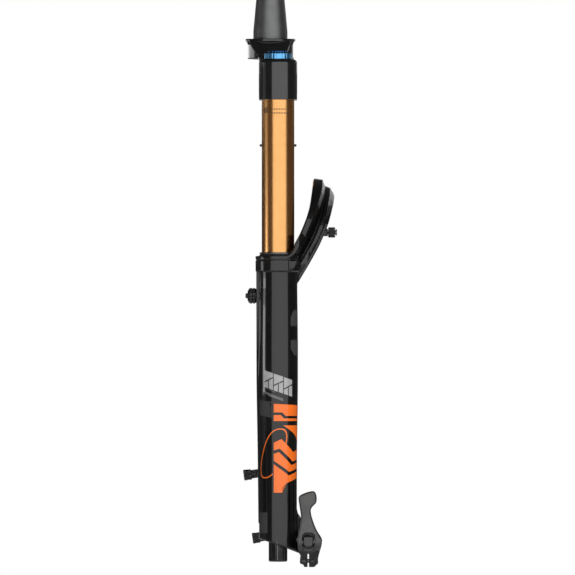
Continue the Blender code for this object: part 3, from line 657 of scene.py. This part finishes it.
def lug_field(p):
    """The pair of clamping lugs under the axle."""
    x, y, z = p.T
    outline = [
        (31.6, -587), (32.0, -592.5), (35.3, -600.2), (34.7, -604.5), (34.6, -609.0), (38.5, -610.6),
        (39.6, -613.2), (50.9, -613.2), (55.2, -608.8), (54.9, -603.8), (56.2, -598.3), (58.0, -592),
    ]
    lugs = slab(polygon(outline, x, z) - 0.4, y, -DROPOUT_OUT + 2.5, -HUB_HALF - 4, 0.9)
    relief = rounded_pair(np.abs(x - AXLE_X) - 7.2, np.abs(z + 606.2) - 1.1, 0.4)
    relief = np.maximum(relief, 3.2 - np.abs(x - AXLE_X))
    return smooth_cut(lugs, slab(relief, y, -90, -70.0, 0.2), 0.4)


def from_leg(x, y):
    """Distance from the axis of the nearer leg."""
    return np.hypot(x - LEG_X, np.abs(y) - LEG_Y)


def from_axle(x, z):
    return np.hypot(x - AXLE_X, z - AXLE_Z)


def from_hose(y, z):
    return np.hypot(y - HOSE_Y, z - HOSE_Z)


def from_bleeder(y, z):
    return np.hypot(np.abs(y) - LEG_Y, z - BLEED_Z)


def post_axes(x, z, x0, z0):
    """Distances from a brake post's face: along the post into the leg, and upwards across it."""
    x, z = x - x0, z - z0
    return x * POST_IN[0] + z * POST_IN[1], z * POST_IN[0] - x * POST_IN[1]


def post_field(p, x0, z0, length):
    """A brake post: a ringed head on a cast neck with webs, running back into the leg."""
    along, up = post_axes(p[:, 0], p[:, 2], x0, z0)
    side = p[:, 1] - POST_Y
    across = rounded_pair(np.abs(up) - 6.5, np.abs(side) - 6.5, 3.0)
    head = slab(across, along, 0, 8.6, 0.6)
    for ring in (2.6, 4.6, 6.6):
        head = smooth_cut(head, np.hypot(across, along - ring) - 0.65, 0.3)
    neck = slab(across + 1.5, along, 4.0, length, 0.6)
    web = np.abs(up * 0.9 - (along - 12.5) * 0.55) - 0.9
    other = np.abs(up * 0.9 + (along - 12.5) * 0.55) - 0.9
    webs = slab(rounded_pair(np.minimum(web, other), across + 0.4, 0.4), along, 8.0, length, 0.4)
    return smooth_union(smooth_union(head, neck, 0.8), webs, 0.8)


def cast_field(p):
    """The whole lower casting, with its bores and holes."""
    x, y, z = p.T
    d = leg_field(p)
    for field, low, high, blend in (
        (arch_field, (0, -120, -310), (90, 120, -150), 2.5),
        (collar_field, (-25, -120, -290), (60, 120, -225), 1.2),
        (dropout_field, (-5, -90, -612), (70, 90, -535), 3.0),
        (lug_field, (20, -85, -625), (70, -45, -575), 1.5),
    ):
        d = smooth_union(d, within(p, low, high, field), blend)
    for x0, z0, length in POST_FACES:
        post = within(p, (x0 - 12, 45, z0 - 14), (x0 + 44, 80, z0 + 20),
                      lambda q, a=x0, b=z0, c=length: post_field(q, a, b, c))
        d = smooth_union(d, post, 3.0)
    d = smooth_union(d, slab(from_bleeder(y, z) - 7.5, x, -16.1, -0.1, 0.5), 1.6)
    d = smooth_union(d, slab(from_hose(y, z) - 4.5, x, 46, 67, 0.4), 1.5)
    return cut_casting(d, x, y, z)


def cut_casting(d, x, y, z):
    """Cuts the bores, holes and slots. Each cutter runs on well outside the casting."""
    leg, axle = from_leg(x, y), from_axle(x, z)
    bolt = np.hypot(y - PINCH_Y, z - PINCH_Z)
    cup = slab(axle - CUP_ROOM_R, y, -110, -DROPOUT_OUT - 0.2, 0.4)
    cone = np.maximum((axle - 14.4 - (-82.9 - y)) * DIAGONAL, axle - 18.5)
    for cutter in (
        slab(leg - LEG_BORE_R, z, LEG_FLOOR, -100, 0.4),
        slab(leg - SEAL_SEAT[0], z, SEAL_SEAT[1], -100, 0.3),
        slab(leg - 11.3, z, -700, FOOT_SEAT, 0.5),  # recess round the foot nut
        slab(leg - 5.3, z, -700, LEG_FLOOR + 5, 0.3),
        slab(from_bleeder(y, z) - 4.3, x, -40, -11.8, 0.3),
        slab(axle - SLEEVE_R - GAP, y, -100, -50, 0.2),
        smooth_union(cup, cone, 0.6),  # room for the cam cup and for the lever as it swings
        slab(axle - SLEEVE_R - GAP, y, 66, 100, 0.2),  # seat of the axle nut
        slab(axle - AXLE_R - GAP, y, 50, 100, 0.2),
        np.maximum(np.abs(x - AXLE_X) - 0.8, np.maximum(np.abs(y - PINCH_Y) - 18, z - AXLE_Z)),
        slab(bolt - 2.7, x, 20, 60, 0.2),
        slab(bolt - 4.1, x, 51.2, 70, 0.2),
        slab(np.hypot(x - AXLE_X, y - 71) - 1.8, z, AXLE_Z - 30, AXLE_Z, 0.2),  # lock screw
        slab(from_hose(y, z) - 2.0, x, 57, 80, 0.2),
    ):
        d = smooth_cut(d, cutter, 0.5)
    for x0, z0, _ in POST_FACES:
        along, up = post_axes(x, z, x0, z0)
        d = smooth_cut(d, slab(np.hypot(up, y - POST_Y) - 2.5, along, -5, 15, 0.2), 0.5)
    return d


def build_casting():
    """Fine grid lines where the casting changes, and long cells where it is a plain tube."""
    low, high = box("lower_casting")
    low, high = low - 1.5, high + 1.5
    xs = graded((low[0], 1.25), (41, 0.75), (47, 1.25), (high[0], 1))
    ys = graded((low[1], 1.3), (-50, 3.0), (50, 1.3), (high[1], 1))
    zs = graded((low[2], 1.3), (-541, 12.0), (-516, 1.3), (-500, 18.0), (-312, 1.3), (-284, 0.85),
                (-246, 1.2), (high[2], 1))
    dress(skin("lower_casting_skin", cast_field, (xs, ys, zs)), "lower_casting")


# Crown and steerer


CLAMP_R = 22.3
CLAMP_TOP = -24.1
CLAMP_BOTTOM = -71.3
STEERER_FOOT_R = 19.9
STEERER_TOP_R = 14.3
STANCHION_BORE_R = 16.4
CROWN_STATIONS = [  # |y|, back, front, top and bottom of the crown's arm
    (0, -24.0, 24.0, -1.2, -30), (21, -24.0, 23.6, -1.6, -34), (32, -19.5, 21.0, -8.5, -42),
    (44, -14.8, 18.6, -16.5, -50), (56, -11.6, 17.6, -23.6, -58), (72, -9, 24, -27, -66),
]


def crown_field(p):
    """Two arms and their clamps round a central boss, with a pocket under each arm."""
    x, y, z = p[:, 0], np.abs(p[:, 1]), p[:, 2]
    rows = np.array(CROWN_STATIONS, float)
    back, front, top, bottom = (np.interp(y, rows[:, 0], rows[:, n]) for n in range(1, 5))
    section = [
        (-7.2, bottom + 3.8), (-4.5, bottom + 0.8), (12, bottom + 0.8), (16, bottom + 5),
        (front - 0.8, top - 3.0), (front - 2.6, top - 0.8), (back + 2.6, top - 0.8), (back + 0.8, top - 2.6),
    ]
    arm = np.maximum(polygon(section, x, z) - 0.8, y - 78)
    ring = np.hypot(x, y)
    boss = slab(ring - 26.5 - np.clip((z + 7) / 4, 0, 1) ** 2 * 2.2, z, -23.6, -0.8, 0.6)
    d = smooth_union(arm, boss, 0.8)
    d = smooth_union(d, slab(ring - 29.0, z, -3.0, 0.0, 0.5), 1.0)
    leg = from_leg(x, y)
    clamp = slab(leg - CLAMP_R, z, CLAMP_BOTTOM, CLAMP_TOP, 0.8)
    chamfer = (leg - CLAMP_R + z - CLAMP_TOP) * DIAGONAL + 2.3
    d = smooth_union(d, rounded_pair(clamp, chamfer, 0.6), 1.6)
    pocket = slab(rounded_pair(np.abs(x - 3.5) - 8.0, np.abs(y - 36) - 10.5, 4.0), z + 0.42 * (y - 36),
                  -80, -24.0, 2.5)
    d = smooth_cut(d, pocket, 1.0)
    d = smooth_cut(d, slab(leg - STANCHION_R - GAP, z, -100, 20, 0.3), 0.6)
    return smooth_cut(d, slab(ring - STEERER_FOOT_R - GAP, z, -100, 20, 0.3), 0.6)


def build_crown():
    dress(skin("crown_skin", crown_field, grid_round("crown", 0.9, 1.5)), "crown")


def build_steerer():
    top = box("steerer_tube")[1][2]
    profile = [
        (15.4, -24.0), (STEERER_FOOT_R, -24.0), (STEERER_FOOT_R, 8.0, 4.0), (19.2, 16.0, 6.0),
        (18.3, 26.0, 12.0), (STEERER_TOP_R, 70.0, 12.0), (STEERER_TOP_R, top, 0.8), (11.6, top, 0.6),
        (11.6, 68.0, 8.0), (15.4, 24.0, 8.0),
    ]
    spun("steerer_tube", profile, (0, 0, 0), name="steerer")


def build_stanchions():
    for side in SIDES:
        profile = [
            (STANCHION_BORE_R, STANCHION_LOW), (STANCHION_R, STANCHION_LOW, 0.8),
            (STANCHION_R, STANCHION_HIGH, 0.8), (STANCHION_BORE_R, STANCHION_HIGH),
        ]
        spun(f"stanchion_{side}", profile, leg_at(side), sides=160)


def build_caps():
    left, right = leg_at("left"), leg_at("right")
    spun("air_top_cap", [
        (4.3, -44), (16.1, -44), (16.1, -25.7), (18.6, -25.7), (18.6, -21.0, 1.2), (12.0, -21.0),
        (11.4, -21.9), (4.3, -21.9),
    ], left, form=notched(12, 1.0, 0.28, -25.0, -21.0, 17.0))
    spun("air_valve_cap", [
        (0, -9.9), (4.5, -9.9), (4.5, -20.7), (9.2, -20.7), (9.2, -8.3, 1.4), (3.0, -8.3), (2.4, -9.0),
        (0, -9.0),
    ], left, form=notched(18, 0.5, 0.35, -19.5, -9.6, 8.6))
    spun("damper_top_cap", [
        (0, -46), (16.1, -46), (16.1, -25.7), (18.6, -25.7), (18.6, -24.4, 0.4), (0, -24.4),
    ], right)
    spun("high_speed_compression_knob", [
        (3.0, -24.1), (16.2, -24.1, 0.5), (16.2, -17.2, 1.0), (11.8, -17.2), (11.4, -17.7), (3.0, -17.7),
    ], right, name="compression_outer", form=notched(26, 0.55, 0.42, -23.4, -17.2, 13.0))
    # The inner knob is the same blue anodising as the outer one; its darker finish is painted shade.
    spun("low_speed_compression_knob", [
        (0, -24.1), (2.7, -24.1), (2.7, -16.9), (11.0, -16.9), (11.0, -14.4, 0.6), (4.4, -14.4),
        (3.9, -15.3), (0, -15.3),
    ], right, name="compression_inner", finish="knob_dark_blue",
         form=notched(18, 0.6, 0.40, -16.6, -14.4, 9.0))


# Fittings on the lower legs


def oval(radius, height, half_width, half_height, count):
    """The round section of a ring, as a profile."""
    turns = [TAU * n / count for n in range(count)]
    return [(radius + half_width * math.cos(a), height + half_height * math.sin(a)) for a in turns]


def build_seals():
    inner = STANCHION_R + 0.25
    for side in SIDES:
        spun(f"wiper_seal_{side}", [
            (inner, -259.5), (22.9, -259.5), (22.9, -252.3, 0.6), (21.3, -251.9, 0.6), (20.9, -250.4, 0.4),
            (21.1, -249.4, 0.4), (20.0, -248.3, 0.3), (inner, -248.3, 0.15), (inner + 0.5, -250.2, 0.4),
            (inner, -252.0, 0.3),
        ], leg_at(side), name=f"wiper_{side}")
        # A garter spring ring on the wiper lip in bright alloy; it also serves as a painted highlight for the
        # reflected light line along the lip.
        spring = oval(21.15, -249.3, 0.62, 0.62, 10)
        piece = turned(f"wiper_spring_highlight_{side}", spring, leg_at(side), corner=0, sides=240,
                       form=lambda r, h, a: r - 0.1 * (np.cos(a * 80) > 0))
        piece.data.materials.append(MATERIALS["bare_alloy"])
        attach(piece, "lowers")
    spun("sag_ring", oval(20.45, middle("sag_ring")[2], 1.15, 1.5, 20), leg_at("left"), corner=0)


def build_bleeders():
    for side in SIDES:
        at = (-14.1, SIDES[side] * LEG_Y, BLEED_Z)
        spun(f"bleed_valve_{side}", [
            (3.2, 2.3), (8.0, 2.3), (8.6, 3.6, 0.4), (9.2, 4.0, 0.3), (9.2, 6.0, 0.3), (8.3, 6.3), (8.3, 6.9),
            (9.2, 7.2, 0.3), (9.2, 9.6, 0.8), (7.6, 11.2, 0.8), (5.0, 12.4, 0.6), (3.9, 12.4, 0.3),
            (3.7, 10.2), (3.2, 10.2),
        ], at, "-X", form=notched(12, 1.3, 0.40, 3.8, 12.0, 4.6))
        spun(f"bleed_button_{side}", [
            (0, 3.2), (2.9, 3.2), (2.9, 14.8, 1.2), (0, 14.8),
        ], at, "-X", sides=48)


def hose_field(p):
    """The hose clamp: a ribbed block with a round channel open to the back."""
    x, y, z = p.T
    low, high = box("hose_guide")
    centre, half = (low + high) / 2, (high - low) / 2
    body = rounded_pair(np.abs(x - centre[0]) - half[0], np.abs(y - centre[1]) - half[1], 1.6)
    body = slab(body, z, low[2], high[2], 1.2)
    for rib in (-228.6, -226.2, -223.8, -221.4):
        body = smooth_cut(body, np.maximum(np.abs(z - rib) - 0.55, high[0] - 0.6 - x), 0.5)
    channel = np.hypot(x - 71.3, y - 72.5) - 3.3
    mouth = np.maximum(np.abs(y - 72.5) - 2.2, x - 71.3)
    body = smooth_cut(body, np.minimum(channel, mouth), 0.5)
    return smooth_cut(body, from_hose(y, z) - 2.1, 0.4)


def build_hose_guide():
    dress(skin("hose_guide_skin", hose_field, grid_round("hose_guide", 0.6)), "hose_guide")
    spun("hose_guide_screw", [
        (0, 58.5), (1.7, 58.5), (1.7, 75.7), (3.6, 75.7), (3.6, 77.6, 0.7), (1.6, 77.6, 0.1),
        (1.6, 76.5, 0.1), (0, 76.5),
    ], (0, HOSE_Y, HOSE_Z), "X", "hose_screw", corner=0.2, sides=48, form=hexed(1.65, 2.6))


def build_foot():
    """Nuts under the legs, the rebound knobs and their cover."""
    right = leg_at("right")
    for node, corner, high, low, side in (
        ("air_foot_nut", 9.5, -579.0, -587.0, "left"), ("damper_foot_nut", 8.6, -579.0, -584.0, "right"),
    ):
        spun(node, [
            (5.3, low), (corner, low, 0.6), (corner, high, 0.3), (5.3, high),
        ], leg_at(side), sides=72, form=lambda r, h, a, c=corner: np.minimum(r, c * 0.866 * hexagon(a)))
    spun("rebound_cover", [
        (9.8, -580), (9.8, -605.8, 1.0), (0, -605.8), (0, -607.3), (10.9, -607.3, 2.0), (10.9, -580, 0.4),
    ], right)
    spun("high_speed_rebound_knob", [
        (2.9, -594), (9.0, -594, 0.6), (9.0, -585.3, 0.6), (2.9, -585.3),
    ], right, name="rebound_outer", form=notched(24, 0.5, 0.45, -593, -586.2, 8.0))
    spun("low_speed_rebound_knob", [
        (0, -604), (6.5, -604, 0.8), (6.5, -594.3, 0.3), (2.6, -594.3), (2.6, -586), (0, -586),
    ], right, name="rebound_inner", form=notched(18, 0.4, 0.45, -603, -595, 5.6))


# Axle and lever


def lever_outline():
    """The lever's face in x and z, clockwise from the paddle's inner corner."""
    corners = [
        (32.7, -533.4), (34.7, -530.0), (39.5, -527.6), (45, -525.8), (49.6, -525.2), (52.0, -526.6),
        (53.4, -530), (53.8, -535), (52.8, -539.2), (48.9, -543.2), (47.0, -546.7), (47.3, -552),
        (49.9, -561), (53.1, -569), (57.2, -576.8), (58.2, -584), (31.6, -584), (32.0, -576),
        (34.2, -565), (35.4, -554.6), (34.0, -543.6),
    ]
    points = [Vector(corner) for corner in corners]
    curve = []
    for i, b in enumerate(points):
        a, c, d = points[i - 1], points[(i + 1) % len(points)], points[(i + 2) % len(points)]
        curve += [tuple(curved(a, b, c, d, t)) for t in (0, 0.25, 0.5, 0.75)]
    return curve


LEVER_CURVE = lever_outline()
EAR_OUTLINE = [
    (52.0, -569), (56.4, -574.6), (59.0, -579.3), (59.9, -585.6), (58.5, -591.9), (56.8, -597),
    (34.0, -597), (31.7, -592), (31.1, -585.6), (32.4, -577.9), (35.0, -569),
]


def pin_hole(p):
    return slab(np.hypot(p[:, 1] - PIN_Y, p[:, 2] - AXLE_Z) - 2.8, p[:, 0], 20, 80, 0.1)


def lever_field(p):
    """A flat arm with a broad bevel, two rounded ears on the pin and the gap between them."""
    x, y, z = p.T
    edge = polygon(LEVER_CURVE, x, z)
    face = PIN_Y - 10.0
    arm = np.maximum(edge, np.maximum(face - y, y - face - 5.6))
    arm = np.maximum(arm, (edge + face - y) * DIAGONAL + 1.15)
    ears = rounded_pair(np.hypot(y - PIN_Y, z - AXLE_Z) - 10.0, polygon(EAR_OUTLINE, x, z), 2.0)
    d = np.maximum(smooth_union(arm, ears, 1.6), face - y)
    gap = rounded_pair(np.abs(x - AXLE_X - 0.2) - LEVER_SLOT - 0.3, z - (AXLE_Z + 10.6), 5.0)
    d = smooth_cut(d, gap, 0.6)
    return smooth_cut(d, pin_hole(p), 0.5)


def axle_field(p):
    """The thru-axle: a rod with a socket in its tip and a tongue with an eye for the lever's pin."""
    x, y, z = p.T
    ring = from_axle(x, z)
    rod = slab(ring - AXLE_R, y, -83.2, 64, 0.6)
    d = smooth_union(rod, slab(ring - 6.7, y, 60, 78.5, 1.2), 0.6)
    tongue = slab(rounded_pair(np.abs(x - AXLE_X) - 5.6, np.abs(z - AXLE_Z) - 4.8, 0.8), y, PIN_Y, -78, 0.3)
    eye = rounded_pair(np.abs(y - PIN_Y) - 6.6, np.abs(z - AXLE_Z) - 6.6, 2.6)
    taper = np.maximum(np.abs(x - AXLE_X) - 5.6, np.hypot(x - AXLE_X, np.minimum(z - AXLE_Z, 0)) - 6.2)
    eye = rounded_pair(eye, taper, 1.0)
    d = smooth_union(d, smooth_union(tongue, eye, 0.6), 0.6)
    d = smooth_cut(d, slab(ring - 3.0, y, 72, 90, 0.3), 0.4)
    return smooth_cut(d, pin_hole(p), 0.4)


def build_axle():
    dress(skin("axle_lever_skin", lever_field, grid_round("axle_lever", 0.7)), "axle_lever")
    xs, ys, zs = grid_round("axle", 0.6)
    ys = graded((ys[0], 0.6), (-76, 5.0), (59, 0.7), (ys[-1], 1))
    dress(skin("axle_skin", axle_field, (xs, ys, zs)), "axle")
    at = (AXLE_X, 0, AXLE_Z)
    bore = AXLE_R + GAP
    spun("cam_cup", [
        (bore, -83.1), (11.0, -83.1, 0.8), (13.6, -80.6, 1.0), (13.6, -77.3, 0.4), (bore, -77.3),
    ], at, "Y")
    spun("axle_sleeve", [
        (bore, -76.9), (SLEEVE_R, -76.9, 0.6), (SLEEVE_R, -55.0, 0.6), (bore, -55.0),
    ], at, "Y")
    spun("axle_nut", [
        (bore, 66.3), (SLEEVE_R, 66.3), (SLEEVE_R, 77.3, 0.1), (12.2, 77.3), (12.2, 80.5, 0.7), (bore, 80.5),
    ], at, "Y", form=notched(6, 1.2, 0.22, 77.6, 80.5, 11.0))
    spun("lever_pin", [
        (0, 31.4), (2.5, 31.4, 0.5), (2.5, 59.6, 0.5), (1.4, 59.6, 0.1), (1.4, 58.4, 0.1), (0, 58.4),
    ], (0, PIN_Y, AXLE_Z), "X", corner=0.2, sides=48, form=hexed(1.45, 2.4))
    spun("pinch_bolt", [
        (0, 35.0), (2.4, 35.0, 0.4), (2.4, 51.6, 0.1), (3.7, 51.6), (3.7, 55.2, 0.5), (2.1, 55.2, 0.1),
        (2.1, 53.0, 0.1), (0, 53.0),
    ], (0, PINCH_Y, PINCH_Z), "X", corner=0.2, sides=60, form=hexed(2.15, 3.6))


# Printed graphics on the outside of each leg: plain stripes, blocks and a looped line


def leg_radius(z):
    return float(np.interp(z, LEG_HEIGHTS, LEG_RADII))


def decal(name, shapes, side, finish, body="lowers", radius_at=leg_radius, lift=0.10, sink=0.15):
    """Outlines in (distance round the leg, height), wrapped on a leg's outer face.
    The distance round starts at the outermost line and grows to the front."""
    bm = bmesh.new()
    for outline in shapes:
        face = bm.faces.new([bm.verts.new((s, 0, z)) for s, z in outline])
        bmesh.ops.triangulate(bm, faces=[face])
    for axis, step in ((0, 1.0), (2, 6.0)):
        values = [vert.co[axis] for vert in bm.verts]
        normal = Vector((1, 0, 0)) if axis == 0 else Vector((0, 0, 1))
        line = math.ceil(min(values) / step) * step
        while line < max(values):
            bmesh.ops.bisect_plane(bm, geom=bm.verts[:] + bm.edges[:] + bm.faces[:],
                                   plane_co=normal * line, plane_no=normal)
            line += step
    grown = bmesh.ops.extrude_face_region(bm, geom=bm.faces[:])
    top = {item for item in grown["geom"] if isinstance(item, bmesh.types.BMVert)}
    for vert in bm.verts:
        distance, _, z = vert.co
        radius = radius_at(z)
        angle = distance / radius
        reach = radius + (lift if vert in top else -sink)
        y = SIDES[side] * (LEG_Y + reach * math.cos(angle))
        vert.co = Vector((LEG_X + reach * math.sin(angle), y, z)) * MM
    bmesh.ops.recalc_face_normals(bm, faces=bm.faces)
    mesh = bpy.data.meshes.new(name)
    bm.to_mesh(mesh)
    bm.free()
    mesh.shade_smooth()
    mesh.set_sharp_from_angle(angle=SHARP)
    mesh.materials.append(MATERIALS[finish])
    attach(linked(name, mesh), body)


def slanted(left, right, top, bottom, drop):
    """A block whose top and bottom edges fall by drop towards the front."""
    return [(left, top), (right, top - drop), (right, bottom - drop), (left, bottom)]


def loop_line(centre, half_width, half_height, lean, width):
    """A long closed loop drawn as a thin line, in short four-sided pieces."""
    rings = []
    for grow in (0, width):
        ring = []
        for n in range(49):
            a = TAU * n / 48
            along = (half_height - grow) * math.copysign(abs(math.cos(a)) ** 0.8, math.cos(a))
            out = (half_width - grow) * math.copysign(abs(math.sin(a)) ** 0.8, math.sin(a))
            ring.append((centre[0] + out + along * lean, centre[1] + along))
        rings.append(ring)
    outer, inner = rings
    return [[outer[n], outer[n + 1], inner[n + 1], inner[n]] for n in range(48)]


def build_graphics():
    """Orange blocks and chevrons with a looped line behind them, silver bars above, faint greys between."""
    blocks = [
        [(-5, -424), (34, -426), (34, -438), (9, -438), (5, -434), (-5, -434)],
        [(-5, -437), (3, -437), (7, -441), (34, -441), (34, -444), (-5, -444)],
        [(6, -449), (34, -449), (34, -470), (22, -459)],
        [(-5, -469), (4, -465), (20, -480), (34, -476), (34, -487), (19, -491), (2, -476), (-5, -478)],
        [(-5, -482), (1, -480), (17, -495), (34, -491), (34, -497), (14, -503), (-5, -490)],
        [(-5, -494), (13, -507), (34, -501), (34, -508), (10, -516), (5, -521), (5, -527), (-5, -527)],
    ]
    loop = [piece for piece in loop_line((-7, -481.5), 14, 29, 0.34, 1.4)
            if piece[0][0] < -5 or piece[0][1] > -470]
    silver = []
    for left, top in ((-17, -385), (-5, -389), (7, -393)):
        for bar in (
            [(0, 0), (11, -3.5), (11, -8), (0, -13)],
            [(0, -14.5), (5, -12.2), (5, -21), (0, -19.5)],
            [(6, -11.7), (11, -9.5), (11, -23), (6, -21.4)],
        ):
            silver.append([(left + across, top + up) for across, up in bar])
    ghost = [
        slanted(-27, -8, -419, -437, 3), slanted(-10, -7, -421, -440, 0.5),
        [(16, -324), (19, -318), (23, -315), (36, -315), (36, -334), (16, -334)],
        [(16, -350), (36, -350), (36, -368), (22, -368), (16, -360)],
    ]
    label = [slanted(-31, -13, -550, -574, 0)]
    wedges = [[(-22, -407), (6, -418), (6, -421), (-10, -415.5)], [(-20, -404.5), (-4, -410), (-4, -410.8)]]
    ticks = [slanted(left, left + 1.7, top, top - 1.7, 0)
             for left in range(-8, 11, 3) for top in (-81.5, -86)]
    ticks += [slanted(left, left + 3.4, -80.5, -87, 0) for left in (-20, -16)]
    for side in SIDES:
        decal(f"graphic_blocks_{side}", blocks, side, "graphic_orange")
        decal(f"graphic_loop_{side}", loop, side, "graphic_orange", lift=0.07)
        decal(f"graphic_bars_{side}", silver, side, "graphic_silver")
        decal(f"graphic_ghost_{side}", ghost + label, side, "graphic_ghost", lift=0.05)
        decal(f"graphic_wedges_{side}", wedges, side, "graphic_smoke", lift=0.06)
        decal(f"stanchion_marks_{side}", ticks, side, "stanchion_mark", "chassis",
              lambda z: STANCHION_R, 0.02, 0.05)


def finish_hidden_nodes():
    """The CAD solids that stay get the procedural material of their slot."""
    for node, obj in frame["nodes"].items():
        obj.data.materials.clear()
        obj.data.materials.append(MATERIALS[SLOT[node]])


# Studio, in metres

STRIP_DISTANCE = 1.6
FLOOR_SIDES = 96
VIEW_WIDTH = 0.667
VIEW_CENTRE = (0.0199, -0.2892)  # x and z


def area_light(name, place, target, width, height, strength, colour=(1, 1, 1)):
    """A soft box of uniform brightness strength, facing target."""
    light = bpy.data.lights.new(name, "AREA")
    light.shape = "RECTANGLE"
    light.size, light.size_y = width, height
    light.energy = strength * math.pi * width * height
    light.color = colour
    obj = linked(name, light)
    obj.location = place
    obj.rotation_euler = (Vector(target) - Vector(place)).to_track_quat("-Z", "Y").to_euler()
    obj.visible_camera = False
    return obj


def around(azimuth, distance, height):
    """A place round the fork. Azimuth 0 is on the camera's side and 90 in front of the fork."""
    a = math.radians(azimuth)
    return (LEG_X * MM + distance * math.sin(a), -distance * math.cos(a), height)


def strip_light(name, azimuth, low, high, width, strength, colour=(1, 1, 1)):
    """An upright light facing the fork between two heights in metres."""
    height = (low + high) / 2
    place = around(azimuth, STRIP_DISTANCE, height)
    area_light(name, place, (LEG_X * MM, 0, height), width, high - low, strength, colour)


WARM = (1.0, 0.42, 0.10)
STRIPS = [  # name, azimuth, lower and upper end in metres, width, strength and colour
    ("key_box", 11, -0.61, 1.15, 3.43, 1.12),
    ("key_foot", 11, -1.21, -0.61, 3.43, 0.20),
    ("foot_strip_-6", -6, -1.183, -0.603, 0.20, 3.0),
    ("foot_strip_84", 84, -1.183, -0.603, 0.20, 0.6),
    ("edge_low", -86, -0.445, -0.285, 0.50, 4.2),
    ("edge_collar", -86, -0.285, -0.250, 0.44, 2.0),
    ("edge_high", -89, -0.245, 0.305, 0.66, 0.20),
    ("back_high", 174, -0.025, 0.35, 2.0, 0.55),
    ("back_low", 180, -0.95, -0.05, 0.80, 1.0),
    ("boss_card", -127, -0.010, 0.012, 2.4, 2.4),
    ("steerer_edge", 128, 0.012, 0.32, 0.9, 0.45),
    ("warm_left", -58, -0.26, -0.07, 0.75, 0.10, WARM),
    ("warm_right", 92, -0.20, -0.07, 1.6, 0.07, WARM),
]


def build_studio():
    """Strip lights at the fork's heights, soft fill from the camera's side and a pale floor."""
    world = bpy.data.worlds.new("studio")
    bpy.context.scene.world = world
    world.use_nodes = True
    tree = world.node_tree
    background = tree.nodes["Background"]
    background.inputs["Color"].default_value = (0.045, 0.045, 0.045, 1)
    white = tree.nodes.new("ShaderNodeBackground")
    white.inputs["Color"].default_value = (1, 1, 1, 1)
    mix = tree.nodes.new("ShaderNodeMixShader")
    path = tree.nodes.new("ShaderNodeLightPath")
    tree.links.new(path.outputs["Is Camera Ray"], mix.inputs["Fac"])
    tree.links.new(background.outputs[0], mix.inputs[1])
    tree.links.new(white.outputs[0], mix.inputs[2])
    tree.links.new(mix.outputs[0], tree.nodes["World Output"].inputs["Surface"])
    centre = (LEG_X * MM, 0, -0.3)
    for strip in STRIPS:
        strip_light(*strip)
    for name, place, size, strength in (
        ("fill_box", around(20, 2.2, -0.3), 2.4, 1.85), ("floor_wash", (LEG_X * MM, 0, 2.6), 2.6, 1.1),
    ):
        area_light(name, place, centre, size, size, strength).visible_glossy = False
    floor = mesh_object("studio_floor", disc(1400, -700), [list(range(FLOOR_SIDES))])
    ground = Shader("floor_paint", Roughness=0.7)
    ground.colour(ground.noise(40.0), grey(0.80), grey(0.84))
    floor.data.materials.append(ground.material)


def disc(radius, height):
    """The rim of a flat disc, in millimetres."""
    turns = [TAU * n / FLOOR_SIDES for n in range(FLOOR_SIDES)]
    return [(radius * math.cos(a), radius * math.sin(a), height) for a in turns]


def build_camera():
    """A very long lens level with the middle of the view, looking along +Y."""
    camera = bpy.data.cameras.new("camera")
    camera.lens = 1500
    camera.sensor_width = 36
    camera.clip_end = 100
    obj = linked("camera", camera)
    distance = VIEW_WIDTH * camera.lens / camera.sensor_width
    obj.location = (VIEW_CENTRE[0], -distance - LEG_Y * MM, VIEW_CENTRE[1])
    obj.rotation_euler = (math.pi / 2, 0, 0)
    bpy.context.scene.camera = obj


bpy.context.scene.view_settings.view_transform = "Standard"
for build in (
    finish_hidden_nodes, build_casting, build_crown, build_steerer, build_stanchions, build_caps,
    build_seals, build_bleeders, build_hose_guide, build_foot, build_axle, build_graphics, build_studio,
    build_camera,
):
    build()
